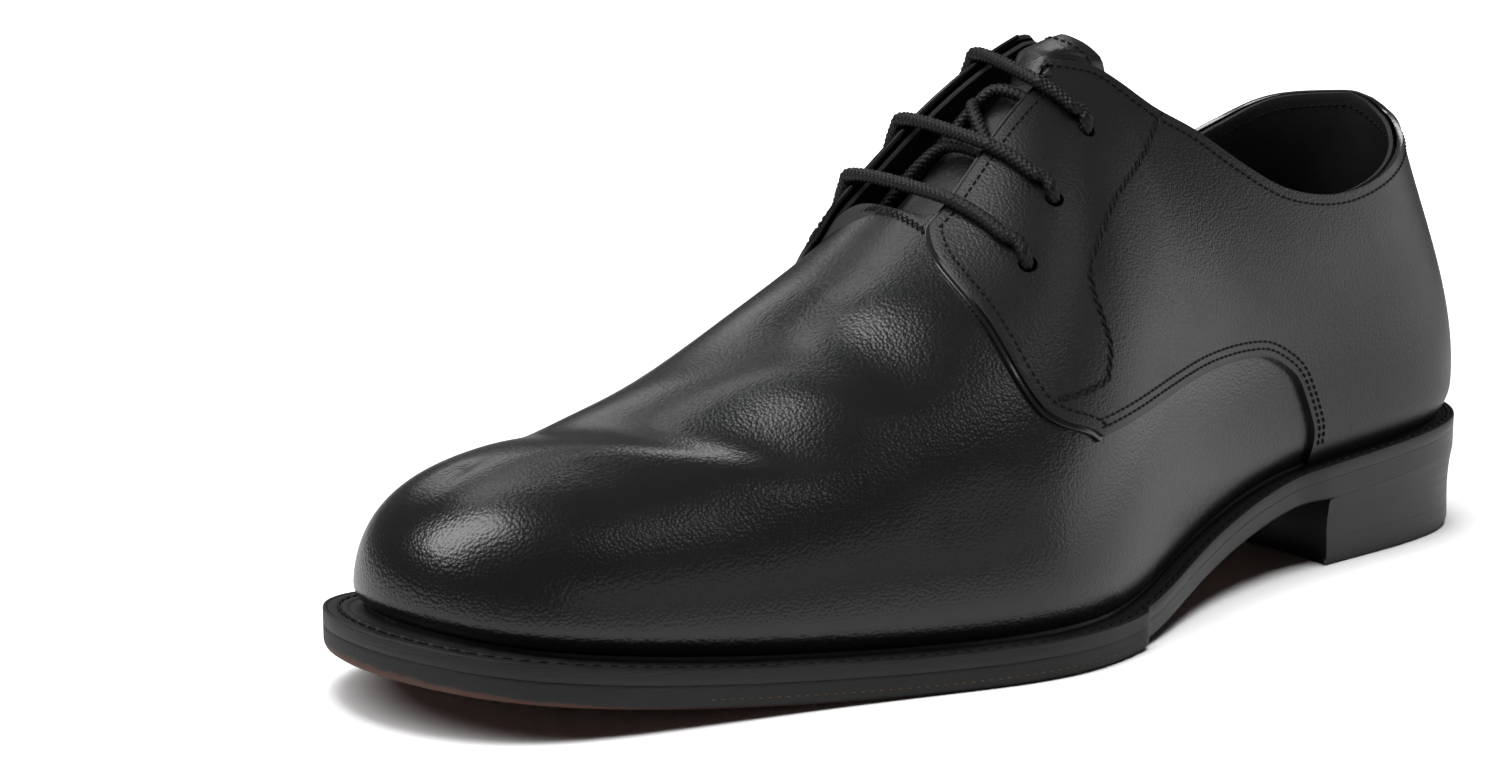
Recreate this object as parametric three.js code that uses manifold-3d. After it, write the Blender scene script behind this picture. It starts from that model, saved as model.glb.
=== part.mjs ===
// Plain-toe derby shoe for the left foot, in millimetres.
// +Z is up, the toe points along -Y, the outer (lateral) side is +X, and the shoe stands on Z = 0.
// "along" is the distance forward from the back of the sole, "out" the distance sideways from the heel's axis.
// A place on the last is (u, v): u runs once round the shoe, from the heel's back over the lateral side,
// the tip and the medial side, and v runs from the feather line, where upper meets sole, to the top.
import * as THREE from "three";
import { mergeVertices } from "three/addons/utils/BufferGeometryUtils.js";
import Module from "manifold-3d";

const wasm = await Module();
wasm.setup();

// Driving sizes
const soleLength = 296.2;
const ballWidth = 106; // the last's feather line across the joints, where the table's two shares add up to 2
const instepHeight = 122; // the last's ridge above the floor, where the table's share is 1
const outsoleThickness = 4.5;
const weltThickness = 3;
const insoleThickness = 4;
const wallThickness = 2; // vamp leather and lining together
const quarterThickness = 1.3; // the quarter's leather, laid over the vamp
const clearance = 0.3; // between pieces that touch

// Heel and sole bottom
const heelLength = 67.3;
const heelBackHeight = 19.7;
const heelBreastHeight = 15.5;
const breastHollow = 2.5; // how far the heel's front face curves in
const topPieceThickness = 6;
const heelInset = 0.8; // the heel stands this far inside the sole's edge
const flatStart = 156.3; // from the back, where the forefoot first touches the floor
const flatEnd = 188.3;
const toeSpring = 11.5;
const edgeRound = 0.9; // how far the outsole's lower edge is rounded in
const waistBevel = 3; // the same at the waist, which is cut away more
const waistEnd = 147.3; // from the back, where the bevelled waist ends in a small step
const edgeStep = 1; // the step's depth

// Welt, as it shows beyond the upper
const weltAtHeel = 3.2;
const weltAtWaist = 3.4;
const weltAtBall = 3.6;
const weltAtToe = 6;

// Throat and facings
const throatAlong = 167.8; // back edge of the vamp on the ridge
const gapAtThroat = 31; // between the two facings' edges
const gapAtTop = 23;
const facingTopAlong = 132.3;
const ridgeOut = -2.2; // the gap's middle, out from the heel's axis

// Tongue
const tongueThickness = 2;
const tongueUnderVamp = 10; // how far it reaches in front of the throat
const tongueSwell = 2; // how far it bulges on both sides of its middle, at the top

// Lace and eyelets
const laceDiameter = 2.4;
const eyeletDiameter = 4.4;
const laceRoom = 0.6; // between the lace and the leather that it lies on

// The last, one row for each section from the heel's back to the tip of the toe.
// along, lateral, medial: the feather line, as shares of the sole's length and of half the ball width.
// turn: the way the section faces in degrees, 0 sideways, -90 back, 90 forward.
// topAlong, shift, open, top: the last's top line, as shares of the length, of half the ball width twice,
// and of the instep's height. shift is where the ridge lies, open how far each side's top line is from it.
// flare: how far the wall leans out above the feather line, as a share of half the ball width.
// rise: how high it does so, as a share of the section's height.
// crown: how far the top stays level, as a share of the section's width. drop: its fall, as a share of height.
const last = [
  { name: "back", along: 0.0109, lateral: 0, medial: 0, turn: -90,
    topAlong: 0.056, shift: 0, open: 0, top: 0.86, flare: 0.045, rise: 0.36, crown: 0.1, drop: 0.3 },
  { name: "counter", along: 0.0386, lateral: 0.4, medial: 0.4, turn: -45,
    topAlong: 0.085, shift: 0, open: 0.24, top: 0.87, flare: 0.08, rise: 0.36, crown: 0.12, drop: 0.3 },
  { name: "heel", along: 0.1023, lateral: 0.565, medial: 0.565, turn: 0,
    topAlong: 0.1382, shift: 0, open: 0.38, top: 0.88, flare: 0.12, rise: 0.36, crown: 0.14, drop: 0.3 },
  { name: "seat", along: 0.1895, lateral: 0.604, medial: 0.585, turn: 0,
    topAlong: 0.2152, shift: 0, open: 0.38, top: 0.9, flare: 0.13, rise: 0.38, crown: 0.2, drop: 0.3 },
  { name: "waist", along: 0.2921, lateral: 0.64, medial: 0.51, turn: 0,
    topAlong: 0.3024, shift: -0.02, open: 0.24, top: 0.96, flare: 0.14, rise: 0.38, crown: 0.3, drop: 0.22 },
  { name: "arch", along: 0.3948, lateral: 0.768, medial: 0.48, turn: 0,
    topAlong: 0.3896, shift: -0.04, open: 0, top: 0.99, flare: 0.15, rise: 0.4, crown: 0.4, drop: 0.09 },
  { name: "instep", along: 0.4871, lateral: 0.968, medial: 0.585, turn: 0,
    topAlong: 0.4769, shift: -0.05, open: 0, top: 0.895, flare: 0.1, rise: 0.44, crown: 0.53, drop: 0.03 },
  { name: "joint", along: 0.5744, lateral: 1.057, medial: 0.736, turn: 0,
    topAlong: 0.5641, shift: -0.05, open: 0, top: 0.715, flare: 0.08, rise: 0.5, crown: 0.52, drop: 0.02 },
  { name: "ball", along: 0.6616, lateral: 0.947, medial: 0.8, turn: 0,
    topAlong: 0.6514, shift: -0.05, open: 0, top: 0.575, flare: 0.06, rise: 0.55, crown: 0.55, drop: 0 },
  { name: "toes", along: 0.7489, lateral: 0.789, medial: 0.77, turn: 0,
    topAlong: 0.7335, shift: -0.06, open: 0, top: 0.468, flare: 0.05, rise: 0.58, crown: 0.6, drop: 0 },
  { name: "box", along: 0.8361, lateral: 0.65, medial: 0.69, turn: 10,
    topAlong: 0.8104, shift: -0.07, open: 0, top: 0.41, flare: 0.04, rise: 0.6, crown: 0.6, drop: 0 },
  { name: "corner", along: 0.9182, lateral: 0.49, medial: 0.59, turn: 30,
    topAlong: 0.8669, shift: -0.09, open: 0, top: 0.385, flare: 0.03, rise: 0.6, crown: 0.62, drop: 0 },
  { name: "edge", along: 0.9634, lateral: 0.25, medial: 0.41, turn: 60,
    topAlong: 0.8915, shift: -0.09, open: 0, top: 0.372, flare: 0.02, rise: 0.6, crown: 0.64, drop: 0.02 },
  { name: "tip", along: 0.9798, lateral: -0.09, medial: 0.09, turn: 90,
    topAlong: 0.8997, shift: -0.09, open: 0, top: 0.365, flare: 0.02, rise: 0.6, crown: 0.66, drop: 0.04 },
];

// The quarter's edge from the side, from the heel's breast to the facing: shares of length and instep height.
const quarterEdge = [
  { along: 0.2449, height: 0.1 },
  { along: 0.2483, height: 0.26 },
  { along: 0.2539, height: 0.292 },
  { along: 0.2613, height: 0.328 },
  { along: 0.2706, height: 0.3655 },
  { along: 0.2865, height: 0.393 },
  { along: 0.3037, height: 0.411 },
  { along: 0.3291, height: 0.417 },
  { along: 0.3687, height: 0.415 },
  { along: 0.4054, height: 0.407 },
  { along: 0.4574, height: 0.392 },
  { along: 0.5315, height: 0.364 },
  { along: 0.5387, height: 0.377 },
  { along: 0.5633, height: 0.4 },
  { along: 0.5732, height: 0.42 },
  { along: 0.5792, height: 0.463 },
  { along: 0.581, height: 0.54 },
  { along: 0.5814, height: 0.625 },
  { along: 0.575, height: 0.658 },
  { along: 0.5641, height: 0.69 },
];

// The top line from the side, from the heel's back to above the facing, on each side of the shoe.
const topLine = [
  { along: -0.0466, lateral: 0.81, medial: 0.81 },
  { along: 0.0304, lateral: 0.81, medial: 0.82 },
  { along: 0.0581, lateral: 0.79, medial: 0.825 },
  { along: 0.1023, lateral: 0.735, medial: 0.813 },
  { along: 0.1505, lateral: 0.693, medial: 0.765 },
  { along: 0.2023, lateral: 0.674, medial: 0.722 },
  { along: 0.2542, lateral: 0.693, medial: 0.72 },
  { along: 0.2938, lateral: 0.745, medial: 0.752 },
  { along: 0.3295, lateral: 0.806, medial: 0.806 },
  { along: 0.3595, lateral: 0.845, medial: 0.85 },
  { along: 0.4004, lateral: 0.917, medial: 0.945 },
  { along: 0.4467, lateral: 0.935, medial: 0.985 },
  { along: 0.4974, lateral: 1.05, medial: 1.08 },
];

// The eyelets on the lateral side of the last, from the throat up; the medial ones are their mirror images.
const eyelets = [
  { name: "bottom", u: 0.2564, v: 0.613 },
  { name: "middle", u: 0.2391, v: 0.663 },
  { name: "top", u: 0.2154, v: 0.713 },
];

// The tongue on the last: its top edge, from the ridge to its side, its sides, and the sinking of its middle
// under the lace.
const tongueTopU = 0.196;
const tongueTopSideU = 0.18;
const tongueSideV = 0.52;

const halfBall = ballWidth / 2;
const farOut = ballWidth; // beyond the shoe's sides
const farUp = instepHeight * 2; // above the shoe
const toY = (along) => soleLength / 2 - along;
const toAlong = (y) => soleLength / 2 - y;
const mix = (a, b, t) => a + (b - a) * t;
const smooth = (t) => t * t * (3 - 2 * t);
const clamp01 = (t) => Math.min(1, Math.max(0, t));
const ease = (value, from, to) => smooth(clamp01((value - from) / (to - from)));

// The heel seat's slope, which stays level in front of the breast.
const heelSeat = (along) => mix(heelBackHeight, heelBreastHeight, clamp01(along / heelLength));

// Underside of the outsole above the floor, at a distance along the shoe.
function soleBottom(along) {
  if (along <= heelLength) return heelSeat(along);
  if (along < flatStart) {
    const t = (along - heelLength) / (flatStart - heelLength);
    const slope = (heelBreastHeight - heelBackHeight) / heelLength;
    const fall = heelBreastHeight * (1 - smooth(t));
    return fall + slope * (flatStart - heelLength) * t * (1 - t) ** 2;
  }
  if (along <= flatEnd) return 0;
  return toeSpring * ((along - flatEnd) / (soleLength - flatEnd)) ** 2;
}

const soleTop = (along) => soleBottom(along) + outsoleThickness;
const weltTop = (along) => soleTop(along) + clearance + weltThickness;
const featherHeight = (along) => weltTop(along) + clearance;

// Control points of one row's section on one side: feather, wall, crown and top line.
function sectionOf(row, side) {
  const share = side > 0 ? row.lateral : row.medial;
  const angle = THREE.MathUtils.degToRad(row.turn);
  const way = [Math.cos(angle) * side, Math.sin(angle)];
  const out = side * share * halfBall;
  const along = row.along * soleLength;
  const bottom = featherHeight(along);
  const topOut = (row.shift + side * row.open) * halfBall;
  const topAlong = row.topAlong * soleLength;
  const top = row.top * instepHeight;
  const reach = Math.hypot(out - topOut, along - topAlong);
  const height = top - bottom;
  const flare = row.flare * halfBall;
  return [
    [out, along, bottom],
    [out + way[0] * flare, along + way[1] * flare, bottom + row.rise * height],
    [topOut + way[0] * row.crown * reach, topAlong + way[1] * row.crown * reach, top - row.drop * height],
    [topOut, topAlong, top],
  ].flat();
}

// The sections round the whole shoe: back, lateral side, tip, medial side.
const between = last.slice(1, -1);
const sections = [
  sectionOf(last[0], 1),
  ...between.map((row) => sectionOf(row, 1)),
  sectionOf(last.at(-1), 1),
  ...between.toReversed().map((row) => sectionOf(row, -1)),
];

// Control values whose closed cubic B-spline passes through the given rows.
function closedSpline(rows) {
  let control = rows;
  const count = rows.length;
  const rounds = 40;
  for (let round = 0; round < rounds; round++) {
    control = rows.map((row, i) => {
      const before = control[(i + count - 1) % count];
      const after = control[(i + 1) % count];
      return row.map((value, k) => (6 * value - before[k] - after[k]) / 4);
    });
  }
  return control;
}

const control = closedSpline(sections);

function splineAt(u) {
  const count = control.length;
  const place = (((u % 1) + 1) % 1) * count;
  const i = Math.floor(place);
  const t = place - i;
  const weights = [
    (1 - t) ** 3 / 6,
    (3 * t ** 3 - 6 * t ** 2 + 4) / 6,
    (-3 * t ** 3 + 3 * t ** 2 + 3 * t + 1) / 6,
    t ** 3 / 6,
  ];
  return control[0].map((_, k) =>
    weights.reduce((sum, weight, j) => sum + weight * control[(i + j - 1 + count) % count][k], 0),
  );
}

// The section at u, with both sides meeting on the ridge where they would cross.
function sectionAt(u) {
  const section = splineAt(u);
  const twin = splineAt(1 - u);
  const side = ((u % 1) + 1) % 1 < 0.5 ? 1 : -1;
  const topOut = 9;
  if ((section[topOut] - twin[topOut]) * side < 0) section[topOut] = (section[topOut] + twin[topOut]) / 2;
  return section;
}

function onLast(u, v) {
  const c = sectionAt(u);
  const b = [(1 - v) ** 3, 3 * v * (1 - v) ** 2, 3 * v * v * (1 - v), v ** 3];
  const [out, along, z] = [0, 1, 2].map((k) => b.reduce((sum, weight, j) => sum + weight * c[3 * j + k], 0));
  return new THREE.Vector3(out, toY(along), z);
}

// The way out of the leather. It is level at the feather line, and both sides share it on the ridge.
function outwardAt(u, v) {
  const du = 0.002;
  const dv = 0.01;
  const high = Math.min(v, 0.99);
  const round = onLast(u + du, high).sub(onLast(u - du, high));
  const up = onLast(u, Math.min(0.995, v + dv)).sub(onLast(u, Math.max(0, v - dv)));
  const way = up.cross(round);
  if (v === 0) way.z = 0;
  return way.normalize();
}

function offsetPoint(u, v, distance) {
  const point = onLast(u, v);
  const way = outwardAt(u, v);
  const meets = v === 1 && point.distanceTo(onLast(1 - u, v)) < 1e-3;
  if (meets) way.add(outwardAt(1 - u, v)).normalize();
  return point.addScaledVector(way, distance);
}

// The place round the last where its ridge has come a distance along the shoe.
function ridgeU(along) {
  let [low, high] = [0, 0.5];
  const halvings = 30;
  for (let i = 0; i < halvings; i++) {
    const u = (low + high) / 2;
    if (toAlong(onLast(u, 1).y) < along) low = u;
    else high = u;
  }
  return low;
}

// A closed mesh from rings of points: each ring has the same count, and caps are zipped across the ring.
function stackOfRings(rings) {
  const count = rings[0].length;
  const positions = rings.flat().flatMap((p) => [p.x, p.y, p.z]);
  const index = [];
  for (let r = 0; r + 1 < rings.length; r++) {
    for (let i = 0; i < count; i++) {
      const j = (i + 1) % count;
      const [a, b] = [r * count + i, r * count + j];
      const [c, d] = [a + count, b + count];
      index.push(a, d, b, a, c, d);
    }
  }
  const cap = (base, downward) => {
    const face = (a, b, c) => {
      if (downward) index.push(base + a, base + b, base + c);
      else index.push(base + a, base + c, base + b);
    };
    for (let i = 0, j = count - 1; i + 1 < j; ) {
      face(i, i + 1, j);
      i += 1;
      if (i + 1 < j) face(i, j - 1, j);
      j -= 1;
    }
  };
  cap(0, true);
  cap((rings.length - 1) * count, false);
  const geometry = new THREE.BufferGeometry();
  geometry.setAttribute("position", new THREE.Float32BufferAttribute(positions, 3));
  geometry.setIndex(index);
  return geometry;
}

// Points round each ring of a form, and rings up the last.
const around = 72;
const upward = 12;

// Booleans
function toSolid(geometry) {
  const bare = geometry.clone();
  bare.deleteAttribute("normal");
  bare.deleteAttribute("uv");
  const merged = mergeVertices(bare, 1e-3);
  const corners = merged.index.array;
  const kept = [];
  for (let i = 0; i < corners.length; i += 3) {
    const [a, b, c] = [corners[i], corners[i + 1], corners[i + 2]];
    if (a !== b && b !== c && a !== c) kept.push(a, b, c);
  }
  const mesh = new wasm.Mesh({
    numProp: 3,
    vertProperties: merged.attributes.position.array,
    triVerts: new Uint32Array(kept),
  });
  return new wasm.Manifold(mesh);
}

function toGeometry(solid) {
  const mesh = solid.getMesh();
  const positions = new Float32Array(mesh.numVert * 3);
  for (let i = 0; i < mesh.numVert; i++) {
    positions.set(mesh.vertProperties.subarray(i * mesh.numProp, i * mesh.numProp + 3), i * 3);
  }
  const geometry = new THREE.BufferGeometry();
  geometry.setAttribute("position", new THREE.BufferAttribute(positions, 3));
  geometry.setIndex(new THREE.BufferAttribute(mesh.triVerts, 1));
  return geometry;
}

// A prism whose outline is drawn from the side (along, height), from out = near to out = far.
function sidePrism(outline, near, far) {
  const shape = new THREE.Shape(outline.map(([along, height]) => new THREE.Vector2(-along, height)));
  const geometry = new THREE.ExtrudeGeometry(shape, { depth: far - near, bevelEnabled: false });
  geometry.rotateX(Math.PI / 2);
  geometry.rotateZ(Math.PI / 2);
  geometry.translate(near, soleLength / 2, 0);
  return toSolid(geometry);
}

// A prism whose outline is drawn from above (out, along), between two heights.
function planPrism(outline, low, high) {
  const shape = new THREE.Shape(outline.map(([out, along]) => new THREE.Vector2(out, toY(along))));
  const geometry = new THREE.ExtrudeGeometry(shape, { depth: high - low, bevelEnabled: false });
  geometry.translate(0, 0, low);
  return toSolid(geometry);
}

// Sole, welt, heel and insole
// The visible width of the welt, which steps in where the waist begins.
function weltWidth(along) {
  const back = mix(weltAtHeel, weltAtWaist, ease(along, 0, heelLength));
  if (along < waistEnd) return back - edgeStep * ease(along, heelLength, heelLength + 2 * weltAtToe);
  return mix(weltAtBall, weltAtToe, ease(along, flatEnd, soleLength));
}

// A point of the feather line moved out in plan; z is left at 0.
function rimPoint(u, distance) {
  const step = 0.001;
  const [before, after] = [onLast(u - step, 0), onLast(u + step, 0)];
  const way = new THREE.Vector3(before.y - after.y, after.x - before.x, 0).normalize();
  const point = onLast(u, 0);
  const grow = distance(toAlong(point.y));
  return new THREE.Vector3(point.x, point.y, 0).addScaledVector(way, grow);
}

// A plate whose rim follows the feather line. Each level has a distance out and a height, both by place along.
function plate(levels) {
  const rings = levels.map(({ distance, height }) =>
    Array.from({ length: around }, (_, i) => {
      const point = rimPoint(i / around, distance);
      point.z = height(toAlong(point.y));
      return point;
    }),
  );
  return toSolid(stackOfRings(rings));
}

// How far the lower edge is cut in: a rounding at the forefoot and heel, a wide bevel at the waist.
function edgeCut(along) {
  const waist = ease(along, heelLength, heelLength + waistBevel * 4) * (along < waistEnd ? 1 : 0);
  return mix(edgeRound, waistBevel, waist);
}

const outsole = plate([
  { distance: (along) => weltWidth(along) - edgeCut(along), height: soleBottom },
  { distance: weltWidth, height: (along) => soleBottom(along) + outsoleThickness * 0.4 },
  { distance: weltWidth, height: soleTop },
]);

const weltOuter = plate([
  { distance: weltWidth, height: (along) => soleTop(along) + clearance },
  { distance: weltWidth, height: weltTop },
]);
const weltInner = plate([
  { distance: () => -wallThickness, height: soleTop },
  { distance: () => -wallThickness, height: (along) => weltTop(along) + clearance },
]);
const welt = weltOuter.subtract(weltInner);

const insoleInset = -(wallThickness + clearance);
const insole = plate([
  { distance: () => insoleInset, height: (along) => soleTop(along) + clearance },
  { distance: () => insoleInset, height: (along) => soleTop(along) + clearance + insoleThickness },
]);

// One layer of the heel, cut off at the breast, which is hollowed by a large arc.
function heelLayer(bottom, top) {
  const rim = (along) => weltWidth(along) - heelInset;
  const block = plate([
    { distance: rim, height: bottom },
    { distance: rim, height: top },
  ]);
  const arcSteps = 12;
  const half = last[2].lateral * halfBall + weltAtHeel;
  const breast = Array.from({ length: arcSteps + 1 }, (_, i) => {
    const across = mix(-1, 1, i / arcSteps);
    return [across * half, heelLength - breastHollow * (1 - across * across)];
  });
  const inFront = [
    [farOut, heelLength],
    [farOut, soleLength * 1.1],
    [-farOut, soleLength * 1.1],
    [-farOut, heelLength],
  ];
  return block.subtract(planPrism([...breast, ...inFront], -1, heelBackHeight + 1));
}
const heelTopPiece = heelLayer(() => 0, () => topPieceThickness);
const heelStack = heelLayer(
  () => topPieceThickness + clearance,
  (along) => heelSeat(along) - clearance,
);

// Upper

// The last's form, grown or shrunk by an offset and closed above and below; below lengthens it downward.
function lastForm(offset, below) {
  const ringAt = (v, sink) =>
    Array.from({ length: around }, (_, i) => {
      const point = offsetPoint(i / around, v, offset);
      point.z -= sink;
      return point;
    });
  const rings = Array.from({ length: upward + 1 }, (_, k) => ringAt(k / upward, 0));
  return toSolid(stackOfRings(below > 0 ? [ringAt(0, below), ...rings] : rings));
}

const inLengths = (row) => [row.along * soleLength, row.height * instepHeight];

const shell = lastForm(0, 0).subtract(lastForm(-wallThickness, weltThickness * 2));

const quarterOutline = [
  ...quarterEdge.map(inLengths),
  [quarterEdge.at(-1).along * soleLength, farUp],
  [-soleLength, farUp],
  [-soleLength, 0],
  [quarterEdge[0].along * soleLength, 0],
];
const quarters = lastForm(quarterThickness, 0)
  .subtract(lastForm(-wallThickness / 2, weltThickness * 2))
  .intersect(sidePrism(quarterOutline, -farOut, farOut));

function aboveTopLine(side) {
  const edge = topLine.map((row) => [row.along * soleLength, row[side] * instepHeight]);
  const outline = [...edge, [edge.at(-1)[0], farUp], [edge[0][0], farUp]];
  return side === "lateral" ? sidePrism(outline, 0, farOut) : sidePrism(outline, -farOut, 0);
}

// Between the facings, from the throat up.
const throatCorner = 3;
const gapOutline = [
  [ridgeOut - gapAtThroat / 2, throatAlong - throatCorner],
  [ridgeOut - gapAtThroat / 2 + throatCorner, throatAlong],
  [ridgeOut + gapAtThroat / 2 - throatCorner, throatAlong],
  [ridgeOut + gapAtThroat / 2, throatAlong - throatCorner],
  [ridgeOut + gapAtTop / 2, facingTopAlong],
  [ridgeOut + gapAtTop / 2, heelLength],
  [ridgeOut - gapAtTop / 2, heelLength],
  [ridgeOut - gapAtTop / 2, facingTopAlong],
];
const facingGap = planPrism(gapOutline, weltTop(throatAlong) + insoleThickness * 4, farUp);

function eyeletHole(u, v) {
  const depth = (wallThickness + quarterThickness) * 3;
  const geometry = new THREE.CylinderGeometry(eyeletDiameter / 2, eyeletDiameter / 2, depth, 12);
  const place = offsetPoint(u, v, 0);
  geometry.applyQuaternion(new THREE.Quaternion().setFromUnitVectors(new THREE.Vector3(0, 1, 0), outwardAt(u, v)));
  geometry.translate(place.x, place.y, place.z);
  return toSolid(geometry);
}

let upper = shell
  .add(quarters)
  .subtract(aboveTopLine("lateral"))
  .subtract(aboveTopLine("medial"))
  .subtract(facingGap);
for (const { u, v } of eyelets) {
  upper = upper.subtract(eyeletHole(u, v)).subtract(eyeletHole(1 - u, v));
}

// Tongue: a patch across the ridge, just under the wall at its front and sides and deeper below the lace.
const underWall = wallThickness + clearance * 2;
const underLace = wallThickness + laceRoom * 2 + laceDiameter + clearance * 2;
const tongueFrontU = ridgeU(throatAlong + tongueUnderVamp);

function tonguePoint(across, forward, deeper) {
  const share = Math.abs(across);
  const topU = mix(tongueTopU, tongueTopSideU, share);
  const u = mix(topU, tongueFrontU, forward);
  const v = 1 - share * (1 - tongueSideV);
  const middle = (1 - ease(share, 0.86, 1)) * (1 - ease(forward, 0.76, 0.95));
  const spread = mix(1, 0.55, ease(forward, 0.03, 0.18));
  const rise = (1 - ease(share, 0.3 * spread, 0.52 * spread)) * (1 - ease(forward, 0.16, 0.32));
  const crown = tongueThickness / 2 - tongueSwell * ease(share, 0, 0.3);
  const sink = mix(mix(underWall, underLace, middle), crown, rise) + deeper;
  return offsetPoint(across >= 0 ? u : 1 - u, v, -sink);
}

function tongueForm() {
  const acrossSteps = 16;
  const forwardSteps = 14;
  const sheet = (deeper) =>
    Array.from({ length: forwardSteps + 1 }, (_, j) =>
      Array.from({ length: acrossSteps + 1 }, (_, i) =>
        tonguePoint(mix(-1, 1, i / acrossSteps), j / forwardSteps, deeper),
      ),
    );
  const [outer, inner] = [sheet(0), sheet(tongueThickness)];
  const rings = outer.map((row, j) => [...row, ...inner[j].toReversed()]);
  return toSolid(stackOfRings(rings));
}

// Lace: three bars over the facings, joined by the diagonals that run beneath them.
const laceSides = 8;
const overLeather = quarterThickness + laceRoom + laceDiameter / 2;
const underLeather = wallThickness + laceRoom + laceDiameter / 2;

function cord(points) {
  const curve = new THREE.CatmullRomCurve3(points, false, "centripetal");
  const steps = Math.round(curve.getLength() / laceDiameter / 1.2);
  const frames = curve.computeFrenetFrames(steps, false);
  const rings = Array.from({ length: steps + 1 }, (_, j) => {
    const centre = curve.getPointAt(j / steps);
    return Array.from({ length: laceSides }, (_, i) => {
      const angle = (-i / laceSides) * Math.PI * 2;
      return centre
        .clone()
        .addScaledVector(frames.normals[j], (Math.cos(angle) * laceDiameter) / 2)
        .addScaledVector(frames.binormals[j], (Math.sin(angle) * laceDiameter) / 2);
    });
  });
  return toSolid(stackOfRings(rings));
}

const onSide = (side, u) => (side > 0 ? u : 1 - u);

// The lace through one hole: from under the wall to above the facing, turned towards the ridge.
function throughEyelet({ u, v }, side) {
  const place = onSide(side, u);
  return [
    offsetPoint(place, v, -underLeather),
    offsetPoint(place, v, -underLeather / 4),
    offsetPoint(place, v, overLeather * 0.7),
    offsetPoint(place, mix(v, 1, 0.12), overLeather + laceRoom),
  ];
}

// A bar over the ridge, from the hole on one side to the hole on the other.
function bar(eyelet, fromSide) {
  const { u, v } = eyelet;
  const half = [0.3, 0.45, 0.6].map((t) => mix(v, 1, t));
  const place = (height, side) => offsetPoint(onSide(side, u), height, overLeather);
  const middle = [
    ...half.map((height) => place(height, fromSide)),
    ...half.toReversed().map((height) => place(height, -fromSide)),
  ];
  return [...throughEyelet(eyelet, fromSide), ...middle, ...throughEyelet(eyelet, -fromSide).toReversed()];
}

// A diagonal beneath the facings; lift raises its middle over another one.
function beneath(from, fromSide, to, lift) {
  const steps = 6;
  return Array.from({ length: steps - 1 }, (_, i) => {
    const t = (i + 1) / steps;
    const across = mix(1, -1, t) * fromSide;
    const share = Math.abs(across);
    const u = mix(from.u, to.u, t);
    const v = mix(1, mix(from.v, to.v, t), share);
    return offsetPoint(onSide(across || 1, u), v, -underLeather + lift * (1 - ease(share, 0.1, 0.4)));
  });
}

const [bottomEyelet, middleEyelet, topEyelet] = eyelets;
const laceMain = cord([
  ...bar(topEyelet, -1),
  ...beneath(topEyelet, 1, middleEyelet, 0),
  ...bar(middleEyelet, -1),
  ...beneath(middleEyelet, 1, bottomEyelet, 0),
  ...bar(bottomEyelet, -1),
]);
const laceReturn = cord([
  offsetPoint(bottomEyelet.u, bottomEyelet.v, -underLeather),
  ...beneath(bottomEyelet, 1, topEyelet, laceDiameter / 2),
  offsetPoint(1 - topEyelet.u, topEyelet.v, -underLeather),
]);

// The shoe
const leather = new THREE.MeshStandardMaterial({ color: 0x17181a, roughness: 0.38, metalness: 0 });
const soleLeather = new THREE.MeshStandardMaterial({ color: 0x2a2928, roughness: 0.6, metalness: 0 });
const heelLeather = new THREE.MeshStandardMaterial({ color: 0x232324, roughness: 0.5, metalness: 0 });
const rubber = new THREE.MeshStandardMaterial({ color: 0x141414, roughness: 0.7, metalness: 0 });
const lining = new THREE.MeshStandardMaterial({ color: 0x1b1a1a, roughness: 0.7, metalness: 0 });
const waxedCord = new THREE.MeshStandardMaterial({ color: 0x101011, roughness: 0.65, metalness: 0 });

const shoe = new THREE.Group();

function addMesh(name, solid, material) {
  const mesh = new THREE.Mesh(toGeometry(solid), material);
  mesh.name = name;
  shoe.add(mesh);
}

addMesh("upper", upper, leather);
addMesh("tongue", tongueForm(), leather);
addMesh("lace", laceMain.add(laceReturn), waxedCord);
addMesh("insole", insole, lining);
addMesh("welt", welt, soleLeather);
addMesh("outsole", outsole, soleLeather);
addMesh("heel_stack", heelStack, heelLeather);
addMesh("heel_top_piece", heelTopPiece, rubber);

// The shoe's box is centred on the origin.
const box = new THREE.Box3().setFromObject(shoe);
shoe.position.x = -(box.min.x + box.max.x) / 2;
shoe.position.y = -(box.min.y + box.max.y) / 2;

export default shoe;
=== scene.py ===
"""Left plain-toe derby shoe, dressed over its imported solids. Lengths are millimetres until a mesh is made."""
import math

import bpy
import numpy as np
from bpy.props import FloatProperty, FloatVectorProperty, PointerProperty
from bpy.types import Operator, Panel, PropertyGroup
from mathutils import Matrix, Vector


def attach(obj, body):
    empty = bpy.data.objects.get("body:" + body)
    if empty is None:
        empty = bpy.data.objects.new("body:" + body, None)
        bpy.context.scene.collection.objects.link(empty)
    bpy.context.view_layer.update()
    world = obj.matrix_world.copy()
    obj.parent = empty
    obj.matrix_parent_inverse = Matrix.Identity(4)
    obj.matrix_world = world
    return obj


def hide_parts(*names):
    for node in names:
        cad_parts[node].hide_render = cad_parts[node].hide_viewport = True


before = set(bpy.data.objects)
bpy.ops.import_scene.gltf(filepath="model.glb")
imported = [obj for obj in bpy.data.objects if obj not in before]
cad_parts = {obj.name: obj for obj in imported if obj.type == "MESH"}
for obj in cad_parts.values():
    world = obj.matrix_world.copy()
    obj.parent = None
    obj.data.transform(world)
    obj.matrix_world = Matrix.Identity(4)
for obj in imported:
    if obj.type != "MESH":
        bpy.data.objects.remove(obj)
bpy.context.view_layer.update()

bl_info = {
    "name": "Plain-toe derby shoe",
    "version": (1, 0, 0),
    "blender": (4, 5, 0),
    "location": "3D View > Sidebar > Derby shoe",
    "description": "Builds a left derby shoe in black leather over its solids",
    "category": "Object",
}

MM = 0.001

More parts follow.
